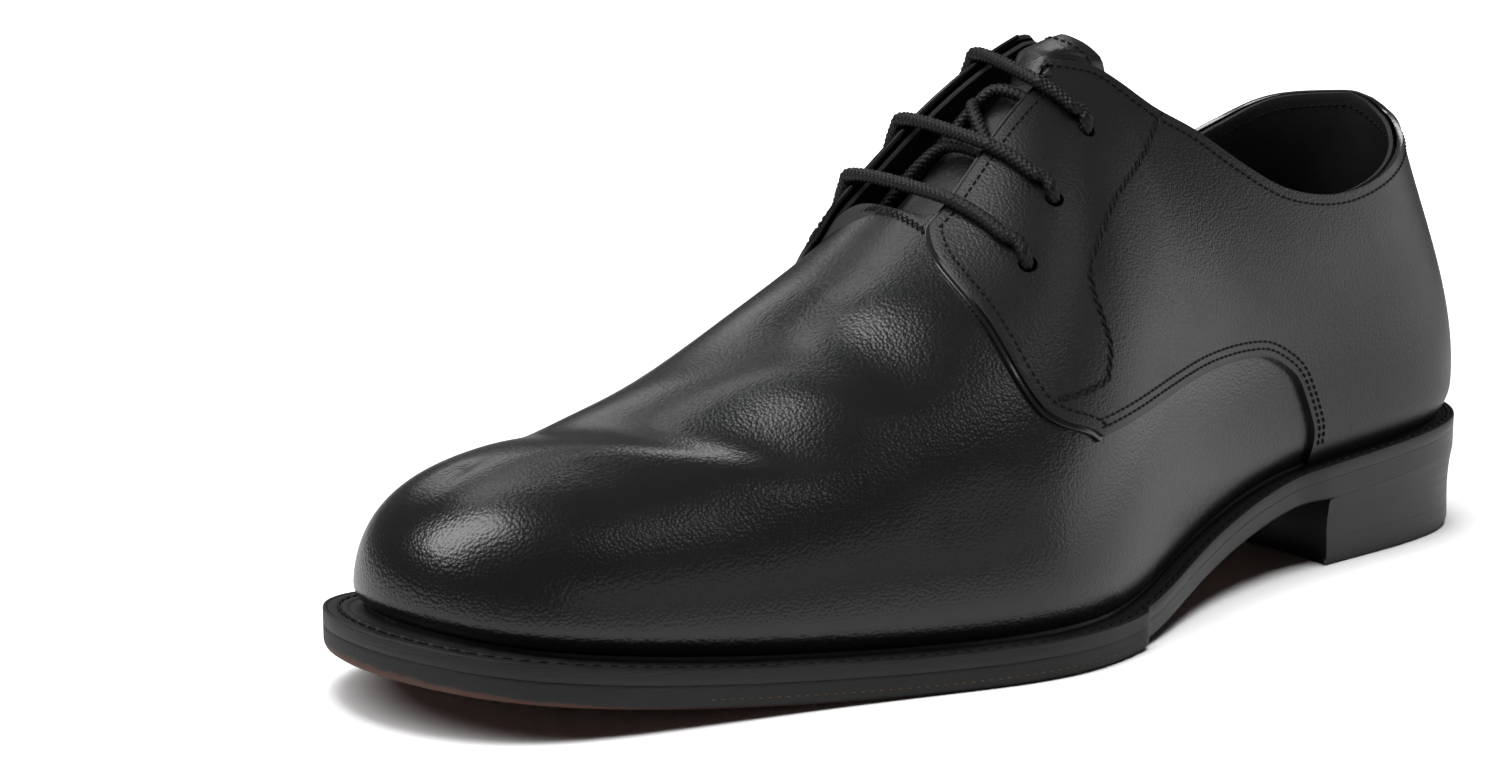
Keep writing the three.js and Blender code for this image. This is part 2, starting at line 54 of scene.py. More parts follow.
# Sizes of the solids, in millimetres
SOLE_LENGTH = 296.2
BALL_WIDTH = 106.0
HALF_BALL = BALL_WIDTH / 2
INSTEP_HEIGHT = 122.0
OUTSOLE_THICKNESS = 4.5
WELT_THICKNESS = 3.0
WALL = 2.0
QUARTER = 1.3
CLEARANCE = 0.3
HEEL_LENGTH = 67.3
HEEL_BACK_HEIGHT = 19.7
HEEL_BREAST_HEIGHT = 15.5
BREAST_HOLLOW = 2.5
TOP_PIECE = 6.0
HEEL_INSET = 0.8
FLAT_START = 156.3
FLAT_END = 188.3
TOE_SPRING = 11.5
WAIST_END = 147.3
WELT_AT_HEEL = 3.2
WELT_AT_WAIST = 3.4
WELT_AT_BALL = 3.6
WELT_AT_TOE = 6.0
THROAT = 167.8
GAP_AT_THROAT = 31.0
GAP_AT_TOP = 23.0
FACING_TOP = 132.3
RIDGE_OUT = -2.2
HEEL_AXIS = -6.775  # the heel's axis, out from the middle of the whole shoe
LACE_ROOM = 0.6

# Sizes of the dressed shoe
LACE_RADIUS = 1.38
LACE_UNDER = WALL + LACE_ROOM + 1.2
STRANDS = 3  # strands of the braid that run each way
BRAID_PITCH = 1.35
BRAID_DEPTH = 0.42
TWIST_LENGTH = 5.0  # one turn of the ornamental seam
OPENING = 3.6  # how far the medial facing stands off
TUCK, TUCK_TOP = 2.0, 0.09  # how far the upper draws in above the welt, and up to which v
WAIST_START = HEEL_LENGTH + 12
WAIST_STEP = 1.2
SEWN = (156, 246)  # where the sole's stitches show, along the shoe
HEEL_MIDDLE = np.array([-2.0, SOLE_LENGTH / 2 - 34, 0])
LEATHER_UV = (100.0, 100.0)
ARCH_FOOT = 20  # points of the arch's foot, where it can't turn over yet
QUARTER_SPLIT = 0.152  # u on the top line where a quarter's two halves meet
GRAIN = "Leather grain"
WORN_COLOUR = (0.075, 0.026, 0.016)

# A stitch: along, height, width, in shares of its length and of the thread's radius
STITCH_SHAPE = [
    (-0.5, -0.9, 0.02), (-0.42, 0.1, 0.75), (-0.22, 0.75, 1), (0, 1, 1), (0.22, 0.75, 1), (0.42, 0.1, 0.75),
    (0.5, -0.9, 0.02),
]

# The welt's section: share of its width, extra distance, height
WELT_SECTION = [(0, -2, 0), (1, -0.12, -0.02), (1, -0.04, 0.0), (1, 0, 0.05), (1, 0, 1.2)] + [
    (share, extra, WELT_THICKNESS - drop) for share, extra, drop in (
        (1, 0, 0.35), (1, -0.08, 0.1), (1, -0.3, 0), (1, -0.6, 0.02), (1, -0.75, 0.3), (1, -0.95, 0.1),
        (0.6, 0, 0.12), (0.55, 0, 0.35), (0.42, 0, 0.35), (0.38, 0, 0.15), (0.2, 0, 0.2), (0.14, 0, 0.5),
        (0.0, 0, 0.3), (0, -2, 0.3),
    )
]

# The outsole's side from below: share of the lower edge's cut, extra inset, height as a share
OUTSOLE_EDGE = [
    (1.0, 0, 0.0), (0.45, 0, 0.08), (0.15, 0, 0.2), (0.0, 0, 0.36), (0, 0, 0.6), (0, 0, 0.9), (0, 0.05, 0.98),
    (0, 0.2, 1.02), (0, 0.3, 1.06),
]

# The heel's two blocks from below: inset, then height as a share of the stack or in millimetres
HEEL_STACK = [
    (0.02, 0), (0.05, 0.1), (0.08, 0.25), (0.05, 0.4), (-0.05, 0.55), (-0.2, 0.7), (-0.42, 0.83), (-0.68, 0.95),
    (-0.8, 1),
]
HEEL_RUBBER = [
    (0.8, 0), (0.5, 0.2), (0.5, 1.3), (0.5, 1.4), (-0.08, 1.5), (-0.12, 2.5), (-0.08, 4), (0, TOP_PIECE - 0.01),
]

# The last's sections: along, lateral, medial, turn, top_along, shift, spread, top, flare, rise, crown, drop
LAST = [
    (0.0109, 0, 0, -90, 0.056, 0, 0, 0.86, 0.045, 0.36, 0.1, 0.3),
    (0.0386, 0.4, 0.4, -45, 0.085, 0, 0.24, 0.87, 0.08, 0.36, 0.12, 0.3),
    (0.1023, 0.565, 0.565, 0, 0.1382, 0, 0.38, 0.88, 0.12, 0.36, 0.14, 0.3),
    (0.1895, 0.604, 0.585, 0, 0.2152, 0, 0.38, 0.9, 0.13, 0.38, 0.2, 0.3),
    (0.2921, 0.64, 0.51, 0, 0.3024, -0.02, 0.24, 0.96, 0.14, 0.38, 0.3, 0.22),
    (0.3948, 0.768, 0.48, 0, 0.3896, -0.04, 0, 0.99, 0.15, 0.4, 0.4, 0.09),
    (0.4871, 0.968, 0.585, 0, 0.4769, -0.05, 0, 0.895, 0.1, 0.44, 0.53, 0.03),
    (0.5744, 1.057, 0.736, 0, 0.5641, -0.05, 0, 0.715, 0.08, 0.5, 0.52, 0.02),
    (0.6616, 0.947, 0.8, 0, 0.6513, -0.05, 0, 0.575, 0.06, 0.55, 0.55, 0),
    (0.7488, 0.789, 0.77, 0, 0.7334, -0.06, 0, 0.468, 0.05, 0.58, 0.6, 0),
    (0.8361, 0.65, 0.69, 10, 0.8104, -0.07, 0, 0.41, 0.04, 0.6, 0.6, 0),
    (0.9182, 0.49, 0.59, 30, 0.8669, -0.09, 0, 0.385, 0.03, 0.6, 0.62, 0),
    (0.9634, 0.25, 0.41, 60, 0.8915, -0.09, 0, 0.372, 0.02, 0.6, 0.64, 0.02),
    (0.9798, -0.09, 0.09, 90, 0.8997, -0.09, 0, 0.365, 0.02, 0.6, 0.66, 0.04),
]

# The quarter's edge from the side: along, height. The pointed tip of its lower edge is the corner.
ARCH_EDGE = [
    (0.2449, 0.1), (0.2483, 0.26), (0.2539, 0.292), (0.2613, 0.328), (0.2706, 0.3655), (0.2865, 0.393),
    (0.3037, 0.411), (0.3291, 0.417), (0.3687, 0.415), (0.4054, 0.407), (0.4574, 0.392), (0.5315, 0.364),
]
FRONT_EDGE = [
    (0.5315, 0.364), (0.5387, 0.377), (0.5633, 0.4), (0.5732, 0.42), (0.5792, 0.463), (0.581, 0.54),
    (0.5814, 0.625), (0.575, 0.658), (0.5641, 0.69),
]

# The top line from the side: along, lateral height, medial height
TOP_LINE = [
    (0.0581, 0.79, 0.825), (0.1023, 0.735, 0.813), (0.1505, 0.693, 0.765), (0.2023, 0.674, 0.722),
    (0.2542, 0.693, 0.72), (0.2938, 0.745, 0.752), (0.3295, 0.806, 0.806), (0.3595, 0.845, 0.85),
    (0.4004, 0.917, 0.945), (0.4467, 0.935, 0.985),
]
COLLAR_BACK = 0.812  # the top line's height at the heel's back

# The medial facing stands up beside the tongue: u, v
MEDIAL_FACING = [(0.204, 0.895), (0.2167, 0.86), (0.23, 0.825), (0.245, 0.785), (0.2625, 0.745)]

# The ornamental seam on the quarters: u, v
ORNAMENT = [
    (0.1769, 0.725), (0.1923, 0.631), (0.2038, 0.6), (0.216, 0.581), (0.2314, 0.544), (0.2378, 0.525),
    (0.2397, 0.494), (0.2397, 0.444), (0.2397, 0.406), (0.2429, 0.375), (0.2455, 0.363),
    (0.2538, 0.369), (0.2647, 0.385),
]

# Eyelets on the lateral side, from the throat up: u, v
EYELETS = [(0.2564, 0.613), (0.2391, 0.663), (0.2154, 0.713)]

# Soft creases: width and depth, then stops of (out, along, height). A depth below 0 is a trough.
CREASES = [
    (7.5, -1.5, (-30, 252, 40), (-10, 245, 48.5), (8, 238, 49), (24, 224, 47), (38, 210, 38)),
    (6.0, 1.1, (-8, 282, 40), (-3, 264, 46), (6, 250, 48), (18, 237, 46.4), (31, 223, 42), (40, 212, 36)),
    (8.0, 0.9, (-20, 226, 50), (-3, 223, 54), (12, 213, 57), (28, 204, 52), (38, 196, 45)),
    (9.0, -0.8, (-16, 206, 58), (4, 200, 63), (24, 194, 60), (38, 186, 52)),
    (9.0, 0.6, (-10, 192, 66), (8, 188, 70), (24, 180, 66), (38, 174, 58)),
    (7.0, -0.6, (44, 204, 34), (50, 190, 34), (50, 176, 38)),
]

# Light: name, place, aim, long way, size in metres, power in watts, in reflections, on the floor
LIGHTS = [
    ("key softbox", (-0.127, -0.593, 0.79), (0, -0.11, 0.04), (0.38, 0.9, 0.1), (0.86, 0.37), 7.0, True, True),
    ("left pool", (-0.4, -0.02, 0.78), (0, 0, 0.07), (0, 1, 0), (0.35, 0.2), 0.5, True, False),
    ("crease light", (-0.395, 0.4, 0.73), (0, -0.04, 0.05), (0.7, -0.7, 0), (0.22, 0.14), 0.5, True, False),
    ("rim", (-0.7, 0.213, 0.609), (0, -0.1, 0.05), (0.4, 0.91, 0), (0.38, 0.2), 0.1, True, False),
    ("toe rim", (-0.334, -0.021, 0.262), (-0.01, -0.12, 0.05), (0, 1, 0), (0.16, 0.1), 0.07, True, False),
    ("facing light", (0.55, 0.29, 0.8), (0, 0, 0.09), (0, 1, 0), (0.3, 0.1), 0.45, True, False),
    ("heel card", (0.62, 1.05, 0.2), (0, 0.1, 0.05), (1, -0.6, 0), (1.3, 0.5), 2.9, True, False),
    ("side card", (1.195, 0.1, 0.33), (0, 0, 0.05), (0, 1, 0), (1.0, 0.35), 0.6, True, False),
    ("floor light", (0, 0, 1.4), (0, 0, 0), (1, 0, 0), (1.1, 1.1), 35, False, True),
]
TARGET = (-0.045275, -0.02602, 0.042)
CAMERA_WAY = (0.76206, -0.61711, 0.19595)
CAMERA_DISTANCE = 0.631
CAMERA = tuple(t + CAMERA_DISTANCE * b for t, b in zip(TARGET, CAMERA_WAY))
LENS, SENSOR = 69.46, 36


def mix(a, b, t):
    return a + (b - a) * t


def ease(value, start, end):
    """A smooth step from 0 at start to 1 at end."""
    t = np.clip((np.asarray(value, float) - start) / (end - start), 0, 1)
    return t * t * (3 - 2 * t)


def unit(vectors):
    return vectors / np.maximum(np.linalg.norm(vectors, axis=-1, keepdims=True), 1e-9)


def mirrored(side, u):
    """u on one side of the shoe, of lines that are given for the lateral side."""
    return u if side > 0 else 1 - u


def along_of(points):
    """How far points lie along the sole, from the heel's back."""
    return SOLE_LENGTH / 2 - points[..., 1]


def running(path):
    """Length along a path up to each of its points."""
    return np.concatenate([[0], np.cumsum(np.linalg.norm(np.diff(path, axis=0), axis=1))])


def sampled(place, at, rows):
    """Rows that belong to places along a path, read at other places."""
    return np.stack([np.interp(at, place, rows[:, k]) for k in range(rows.shape[1])], -1)


def resample(points, count):
    """A path with its points spread evenly by length."""
    points = np.asarray(points, float)
    place = running(points)
    return sampled(place, np.linspace(0, place[-1], count), points)


def rounded(points, amount):
    """A polyline resampled evenly by length, with its corners eased by averaging."""
    points = resample(points, 400)
    for _ in range(amount):
        points[1:-1] = (points[:-2] + 2 * points[1:-1] + points[2:]) / 4
    return points


def smooth_through(points, each):
    """A centripetal curve through points, with a number of steps for each span."""
    points = np.asarray(points, float)
    points = np.vstack([2 * points[0] - points[1], points, 2 * points[-1] - points[-2]])

    def between(one, other, start, end):
        return (end - t) / (end - start) * one + (t - start) / (end - start) * other

    spans = []
    for rows in zip(points, points[1:], points[2:], points[3:]):
        knots = [0.0]
        for one, other in zip(rows, rows[1:]):
            knots.append(knots[-1] + max(np.linalg.norm(other - one), 1e-6) ** 0.5)
        t = np.linspace(knots[1], knots[2], each, endpoint=False)[:, None]
        for reach in (1, 2):
            rows = [between(rows[k], rows[k + 1], knots[k], knots[k + reach]) for k in range(len(rows) - 1)]
        spans.append(between(*rows, knots[1], knots[2]))
    return np.vstack([*spans, points[-2:-1]])


# The last
def heel_seat(along):
    return mix(HEEL_BACK_HEIGHT, HEEL_BREAST_HEIGHT, np.clip(along / HEEL_LENGTH, 0, 1))


def sole_bottom(along):
    """Height of the outsole's underside above the floor."""
    along = np.asarray(along, float)
    t = np.clip((along - HEEL_LENGTH) / (FLAT_START - HEEL_LENGTH), 0, 1)
    slope = (HEEL_BREAST_HEIGHT - HEEL_BACK_HEIGHT) / HEEL_LENGTH
    waist = HEEL_BREAST_HEIGHT * (1 - ease(t, 0, 1)) + slope * (FLAT_START - HEEL_LENGTH) * t * (1 - t) ** 2
    spring = TOE_SPRING * (np.clip(along - FLAT_END, 0, None) / (SOLE_LENGTH - FLAT_END)) ** 2
    return np.where(along <= HEEL_LENGTH, heel_seat(along), np.where(along < FLAT_START, waist, spring))


def sole_top(along):
    return sole_bottom(along) + OUTSOLE_THICKNESS


def welt_top(along):
    return sole_top(along) + CLEARANCE + WELT_THICKNESS


def section(row, side):
    """Control points of one section on one side: feather line, wall, crown and top."""
    along, lateral, medial, turn, top_along, shift, spread, top, flare, rise, crown, drop = row
    angle = math.radians(turn)
    way = np.array([math.cos(angle) * side, math.sin(angle)])
    foot = np.array([side * (lateral if side > 0 else medial) * HALF_BALL, along * SOLE_LENGTH])
    head = np.array([(shift + side * spread) * HALF_BALL, top_along * SOLE_LENGTH])
    bottom = float(welt_top(foot[1])) + CLEARANCE
    height = top * INSTEP_HEIGHT - bottom
    wall = foot + way * flare * HALF_BALL
    crest = head + way * crown * np.hypot(*(foot - head))
    return np.array([
        *foot, bottom, *wall, bottom + rise * height, *crest, bottom + (1 - drop) * height, *head, bottom + height,
    ])


def closed_spline(rows):
    """Control values whose closed cubic B-spline passes through the rows."""
    control = rows
    for _ in range(60):
        control = (6 * rows - np.roll(control, 1, 0) - np.roll(control, -1, 0)) / 4
    return control


CONTROL = closed_spline(np.array([section(row, 1) for row in LAST] + [section(row, -1) for row in LAST[-2:0:-1]]))


def spline_at(u):
    count = len(CONTROL)
    place = np.mod(u, 1) * count
    i = np.floor(place).astype(int)
    t = (place - i)[..., None]
    weights = [(1 - t) ** 3 / 6, (3 * t**3 - 6 * t**2 + 4) / 6, (-3 * t**3 + 3 * t**2 + 3 * t + 1) / 6, t**3 / 6]
    return sum(weight * CONTROL[(i + j - 1) % count] for j, weight in enumerate(weights))


def on_last(u, v):
    """Points of the last at (u, v): u runs round the shoe from the heel's back, v from feather line to top."""
    u, v = np.broadcast_arrays(np.asarray(u, float), np.asarray(v, float))
    row, twin = spline_at(u), spline_at(1 - u)
    side = np.where(np.mod(u, 1) < 0.5, 1, -1)
    crossed = (row[..., 9] - twin[..., 9]) * side < 0
    row[..., 9] = np.where(crossed, (row[..., 9] + twin[..., 9]) / 2, row[..., 9])
    v = v[..., None]
    b = [(1 - v) ** 3, 3 * v * (1 - v) ** 2, 3 * v * v * (1 - v), v**3]
    point = sum(weight * row[..., 3 * j : 3 * j + 3] for j, weight in enumerate(b))
    point[..., 1] = SOLE_LENGTH / 2 - point[..., 1]
    return point


def ridge_u(along):
    """u where the last's ridge is this far along."""
    us = np.linspace(0.2, 0.35, 600)
    return float(np.interp(along, along_of(on_last(us, 1.0)), us))


THROAT_U = ridge_u(THROAT)


def last_normal(u, v):
    """The last's outward normal at (u, v), of any length."""
    high = np.minimum(v, 0.99)
    across = on_last(u + 0.002, high) - on_last(u - 0.002, high)
    up = on_last(u, np.minimum(0.995, v + 0.01)) - on_last(u, np.maximum(0, v - 0.01))
    return np.cross(up, across)


def outward(u, v):
    """Unit ways out of the last; towards the ridge they turn to the mean of its two sides."""
    u, v = np.broadcast_arrays(np.asarray(u, float), np.asarray(v, float))
    way = unit(last_normal(u, v))
    ridge = ease(v, 0.86, 1)[..., None] * 0.5
    met = np.linalg.norm(on_last(u, 1.0) - on_last(1 - u, 1.0), axis=-1)[..., None] < 0.5
    if np.any(met & (ridge > 0)):
        way = np.where(met, unit(way * (1 - ridge) + unit(last_normal(1 - u, v)) * ridge), way)
    return way


def relief(point):
    """Height of the creases and swells at a point of the last."""
    here = np.stack([point[..., 0], along_of(point), point[..., 2]], -1)
    total = np.zeros(here.shape[:-1])
    for width, depth, *stops in CREASES:
        path = smooth_through(stops, 6)
        place = running(path)
        nearest, reached = np.full(total.shape, 1e9), np.zeros(total.shape)
        for k in range(len(path) - 1):
            run = path[k + 1] - path[k]
            t = np.clip(((here - path[k]) @ run) / (run @ run), 0, 1)
            gap = np.linalg.norm(here - path[k] - t[..., None] * run, axis=-1)
            share = mix(place[k], place[k + 1], t) / place[-1]
            reached = np.where(gap < nearest, share, reached)
            nearest = np.minimum(gap, nearest)
        fade = ease(reached, 0, 0.3) * (1 - ease(reached, 0.7, 1))
        total += depth * fade * np.exp(-((nearest / width) ** 2))
    return total


def opened(u, v):
    """How far the medial facing stands away from the last, pushed out by the tongue."""
    twin = 1 - np.mod(u, 1)
    lift = OPENING * ease(v, 0.5, 0.78) * ease(twin, 0.165, 0.205) * (1 - ease(twin, 0.262, 0.284))
    return np.where(twin < 0.5, lift, 0)


def leather(u, v, distance, creased=1.0, spread=1.0):
    """Points on the last, moved out by a distance, with the leather's creases and its tuck above the welt."""
    base = on_last(u, v)
    tuck = TUCK * np.clip(1 - np.broadcast_to(v, base.shape[:-1]) / TUCK_TOP, 0, 1) ** 2
    reach = distance - tuck + spread * opened(u, v) + (creased * relief(base) if creased else 0)
    return base + outward(u, v) * np.asarray(reach)[..., None]


def find_place(side, along, other, by_height=True, distance=0.0):
    """(u, v) on one side of the last where a point lies this far along, at this height or this far out."""
    target = np.stack([np.atleast_1d(np.asarray(value, float)) for value in (along, other)], -1)

    def seen(u, v):
        point = leather(mirrored(side, u), v, distance, 0, 0)
        return np.stack([along_of(point), point[..., 2 if by_height else 0]], -1)

    us, vs = np.meshgrid(np.linspace(0.01, 0.49, 90), np.linspace(0.02, 0.98, 50), indexing="ij")
    us, vs = us.ravel(), vs.ravel()
    table = seen(us, vs)
    if not by_height:
        table[vs < 0.5] = 1e6
    nearest = ((table[None] - target[:, None]) ** 2).sum(-1).argmin(1)
    u, v = us[nearest], vs[nearest]
    step = 1e-4
    for _ in range(12):
        here = seen(u, v)
        du, dv = (seen(u + step, v) - here) / step, (seen(u, v + step) - here) / step
        det = du[:, 0] * dv[:, 1] - du[:, 1] * dv[:, 0]
        det = np.where(abs(det) < 1e-3, 1e-3, det)
        miss = target - here
        step_u = (miss[:, 0] * dv[:, 1] - miss[:, 1] * dv[:, 0]) / det
        step_v = (du[:, 0] * miss[:, 1] - du[:, 1] * miss[:, 0]) / det
        u = np.clip(u + np.clip(step_u, -0.02, 0.02), 0, 0.5)
        v = np.clip(v + np.clip(step_v, -0.05, 0.05), 0, 0.999)
    return np.stack([u, v], -1)


def along_leather(side, line, count, distance=QUARTER):
    """A (u, v) line resampled evenly by its real length on the leather."""
    dense = resample(line, 800)
    place = running(leather(mirrored(side, dense[:, 0]), dense[:, 1], distance))
    return sampled(place, np.linspace(0, place[-1], count), dense)


def inset(side, line, distance, lift=QUARTER):
    """A (u, v) line moved sideways over the leather, to its right as it runs, by a distance."""
    u, v = mirrored(side, line[:, 0]), line[:, 1]
    here = leather(u, v, lift, 0)
    step = 1e-3
    du = (leather(u + side * step, v, lift, 0) - here) / step
    dv = (leather(u, np.maximum(v - step, 0), lift, 0) - here) / -step
    tangent = unit(np.gradient(here, axis=0))
    for _ in range(2):
        tangent[1:-1] = unit(tangent[:-2] + 2 * tangent[1:-1] + tangent[2:])
    way = unit(np.cross(tangent, outward(u, v))) * side * distance
    a, b, c = (du * du).sum(-1), (du * dv).sum(-1), (dv * dv).sum(-1)
    p, q = (way * du).sum(-1), (way * dv).sum(-1)
    det = np.maximum(a * c - b * b, 1e-6)
    return np.stack([line[:, 0] + (p * c - q * b) / det, np.clip(v + (a * q - b * p) / det, 0, 1)], -1)


def side_curve(side, rows, height=1):
    """Evenly rounded (u, v) line through rows of along and height shares."""
    rows = smooth_through(np.array(rows, float)[:, [0, height]] * [SOLE_LENGTH, INSTEP_HEIGHT], 12)
    return find_place(side, rows[:, 0], rows[:, 1])


def outlines(side):
    """The quarter's boundary on one side, each line as (u, v) of the lateral side."""
    arch = side_curve(side, ARCH_EDGE)
    arch = np.vstack([[arch[0][0], 0.0], arch[arch[:, 1] > 0.02]])
    front = side_curve(side, FRONT_EDGE)
    back_v = np.linspace(0.5, 1, 400)
    collar = np.interp(COLLAR_BACK * INSTEP_HEIGHT, on_last(0.0, back_v)[:, 2], back_v)
    top = np.vstack([[0.0, collar], side_curve(side, TOP_LINE, 1 if side > 0 else 2)])
    if side > 0:
        out_top, out_throat = RIDGE_OUT + GAP_AT_TOP / 2, RIDGE_OUT + GAP_AT_THROAT / 2
        corner = find_place(side, FACING_TOP, out_top, by_height=False)[0]
        top = top[top[:, 0] < corner[0] - 0.004]
        along, out = np.linspace(FACING_TOP, THROAT - 3, 20), np.linspace(out_top, out_throat, 20)
        facing = find_place(side, along, out, by_height=False, distance=QUARTER)
    else:
        top = top[top[:, 0] < 0.2]
        facing = np.array(MEDIAL_FACING)
    front = front[front[:, 1] < facing[-1][1] + 0.004]
    return {"arch": arch, "front": front, "top": top, "facing": np.vstack([facing, front[-1]])}


EDGES = {side: outlines(side) for side in (1, -1)}


# Meshes
MERGE = (bpy.ops.mesh.remove_doubles, {"threshold": 3e-6})
CLEAN = (bpy.ops.mesh.dissolve_degenerate, {"threshold": 1e-6})
FLIP = (bpy.ops.mesh.flip_normals, {})
OUTWARD = (bpy.ops.mesh.normals_make_consistent, {"inside": False})


def edit(*steps):
    """Runs edit-mode operators on the whole of the active mesh."""
    bpy.ops.object.mode_set(mode="EDIT")
    bpy.ops.mesh.select_all(action="SELECT")
    for operator, settings in steps:
        operator(**settings)
    bpy.ops.object.mode_set(mode="OBJECT")


def in_frame(points):
    """Points of the last's own frame, in metres, with the shoe's box centred."""
    return (np.asarray(points, float) + [HEEL_AXIS, 0, 0]) * MM


def vertices_of(piece):
    """A piece's vertices in metres, as rows."""
    place = np.zeros(len(piece.data.vertices) * 3)
    piece.data.vertices.foreach_get("co", place)
    return place.reshape(-1, 3)


def only(piece):
    """Selects one object and makes it active."""
    bpy.ops.object.select_all(action="DESELECT")
    piece.select_set(True)
    bpy.context.view_layer.objects.active = piece
    return piece


def gathered(name, pieces):
    """Several pieces as one mesh."""
    only(pieces[0])
    for piece in pieces:
        piece.select_set(True)
    bpy.ops.object.join()
    whole = bpy.context.object
    whole.name = whole.data.name = name
    return whole


def joined(name, pieces):
    """Several pieces as one mesh, with what meets merged."""
    whole = gathered(name, pieces)
    edit(MERGE)
    return whole


def modify(piece, kind, **settings):
    """Gives a piece a modifier and applies it."""
    modifier = piece.modifiers.new(kind.lower(), kind)
    for name, value in settings.items():
        setattr(modifier, name, value)
    bpy.ops.object.modifier_apply(modifier=modifier.name)


def smooth_below(degrees):
    """Shades the active piece smooth, apart from edges sharper than this."""
    bpy.ops.object.shade_smooth_by_angle(angle=math.radians(degrees))


def grid_piece(name, points, texture=(1.0, 1.0), flip=False, merge=False):
    """A sheet from rows and columns of points; the UV map runs over texture's size in millimetres."""
    rows, columns = points.shape[:2]
    bpy.ops.object.select_all(action="DESELECT")
    bpy.ops.mesh.primitive_grid_add(x_subdivisions=columns - 1, y_subdivisions=rows - 1, size=1, calc_uvs=True)
    piece = bpy.context.object
    piece.name = piece.data.name = name
    piece.data.vertices.foreach_set("co", in_frame(points).reshape(-1))
    spread = np.zeros(len(piece.data.loops) * 2)
    layer = piece.data.uv_layers.active
    layer.data.foreach_get("uv", spread)
    layer.data.foreach_set("uv", (spread.reshape(-1, 2) * texture).reshape(-1))
    edit(*[MERGE, CLEAN] * merge, *[FLIP] * flip)
    bpy.ops.object.shade_smooth()
    return piece


def thicken(piece, thickness, round_edge, rim=False):
    """Gives a sheet its thickness inward and rounds its cut edges; a rim has a material of its own."""
    only(piece)
    if rim:
        piece.data.materials.append(None)
        piece.data.materials.append(None)
    modify(
        piece, "SOLIDIFY", thickness=thickness * MM, offset=-1,
        use_quality_normals=True, material_offset_rim=int(rim),
    )
    modify(
        piece, "BEVEL", width=round_edge * MM, segments=3 if rim else 2, material=int(rim),
        limit_method="ANGLE", angle_limit=math.radians(50), use_clamp_overlap=True,
    )
    smooth_below(40)
    return piece


def closed(piece):
    """Merges what meets in a closed mesh and turns its faces outward."""
    only(piece)
    edit(MERGE, CLEAN)
    mesh = piece.data
    mesh.calc_loop_triangles()
    corners = np.zeros(len(mesh.loop_triangles) * 3, int)
    mesh.loop_triangles.foreach_get("vertices", corners)
    a, b, c = vertices_of(piece)[corners.reshape(-1, 3)].transpose(1, 0, 2)
    if (a * np.cross(b, c)).sum() < 0:
        edit(FLIP)
    smooth_below(45)
    return piece


def tube(name, path, radius, sides=6, braid=0.0):
    """A closed round cord along a path, with a UV map in millimetres, round it and along it."""
    path = np.asarray(path, float)
    tangent = unit(np.gradient(path, axis=0))
    normal = np.zeros_like(path)
    normal[0] = unit(np.cross(tangent[0], [0, 0, 1]))
    for i in range(1, len(path)):
        normal[i] = unit(normal[i - 1] - tangent[i] * (normal[i - 1] @ tangent[i]))
    binormal = np.cross(tangent, normal)
    angle = np.linspace(0, 2 * math.pi, sides + 1)
    place = running(path)
    turn = place[:, None] * math.pi / BRAID_PITCH
    weave = np.sqrt(abs(np.sin(STRANDS * angle + turn) * np.sin(STRANDS * angle - turn)))
    size = (radius + braid * (weave - 0.6))[..., None]
    angle = angle[None, :, None]
    ring = path[:, None] + (normal[:, None] * np.cos(angle) + binormal[:, None] * np.sin(angle)) * size
    ends = [np.repeat(path[k : k + 1, None], sides + 1, 1) for k in (0, len(path) - 1)]
    ring = np.concatenate([ends[0], ring, ends[1]])
    return closed(grid_piece(name, ring, (2 * math.pi * radius, place[-1]), merge=True))


def stitch_row(path, ways, length, pitch, radius, name="row"):
    """A row of short stitches on a path: each a small pointed capsule that lies on the leather."""
    path = np.asarray(path, float)
    place = running(path)
    count = max(2, int(place[-1] / pitch))
    centres = np.linspace(pitch / 2, place[-1] - pitch / 2, count)
    tangent = unit(sampled(place, centres, np.gradient(path, axis=0)))[:, None]
    up = unit(sampled(place, centres, ways))[:, None]
    over = unit(np.cross(up, tangent))
    x, lift, width = np.array(STITCH_SHAPE).T[..., None]
    middle = sampled(place, centres, path)[:, None] + tangent * x * length + up * (lift * radius * 0.55)
    sides = 6
    angles = np.linspace(0, 2 * math.pi, sides, endpoint=False)[:, None]
    ring = over * np.cos(angles) + up * np.sin(angles)
    verts = middle[:, :, None] + ring[:, None] * (radius * width)[None, :, None]
    one = np.arange(sides)
    other = (one + 1) % sides
    quads = np.concatenate([
        np.stack([base + one, base + other, base + other + sides, base + one + sides], -1)
        for base in range(0, (len(STITCH_SHAPE) - 1) * sides, sides)
    ])
    faces = []
    for base in range(0, verts[..., 0].size, len(STITCH_SHAPE) * sides):
        ends = [(base + one)[::-1], base + (len(STITCH_SHAPE) - 1) * sides + one]
        faces += [face.tolist() for face in (*(quads + base), *ends)]
    mesh = bpy.data.meshes.new(name)
    mesh.from_pydata(in_frame(verts.reshape(-1, 3)).tolist(), [], faces)
    mesh.update()
    piece = bpy.data.objects.new(name, mesh)
    bpy.context.collection.objects.link(piece)
    only(piece)
    edit(OUTWARD)
    bpy.ops.object.shade_smooth()
    return piece


def mark(piece, name, values):
    """A number on each point of a piece, for its material."""
    layer = piece.data.attributes.new(name, "FLOAT", "POINT")
    layer.data.foreach_set("value", np.asarray(values, np.float32))


def finish_piece(piece, material, slot, *nodes, rim=None):
    """Gives a piece its material and its place in the frame; slot is not used."""
    kept = np.zeros(len(piece.data.polygons), np.int32)
    piece.data.polygons.foreach_get("material_index", kept)
    piece.data.materials.clear()
    piece.data.materials.append(look_of(material))
    if rim:
        piece.data.materials.append(look_of(rim))
        piece.data.polygons.foreach_set("material_index", kept)
    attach(piece, "root")
    if nodes:
        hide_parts(*nodes)


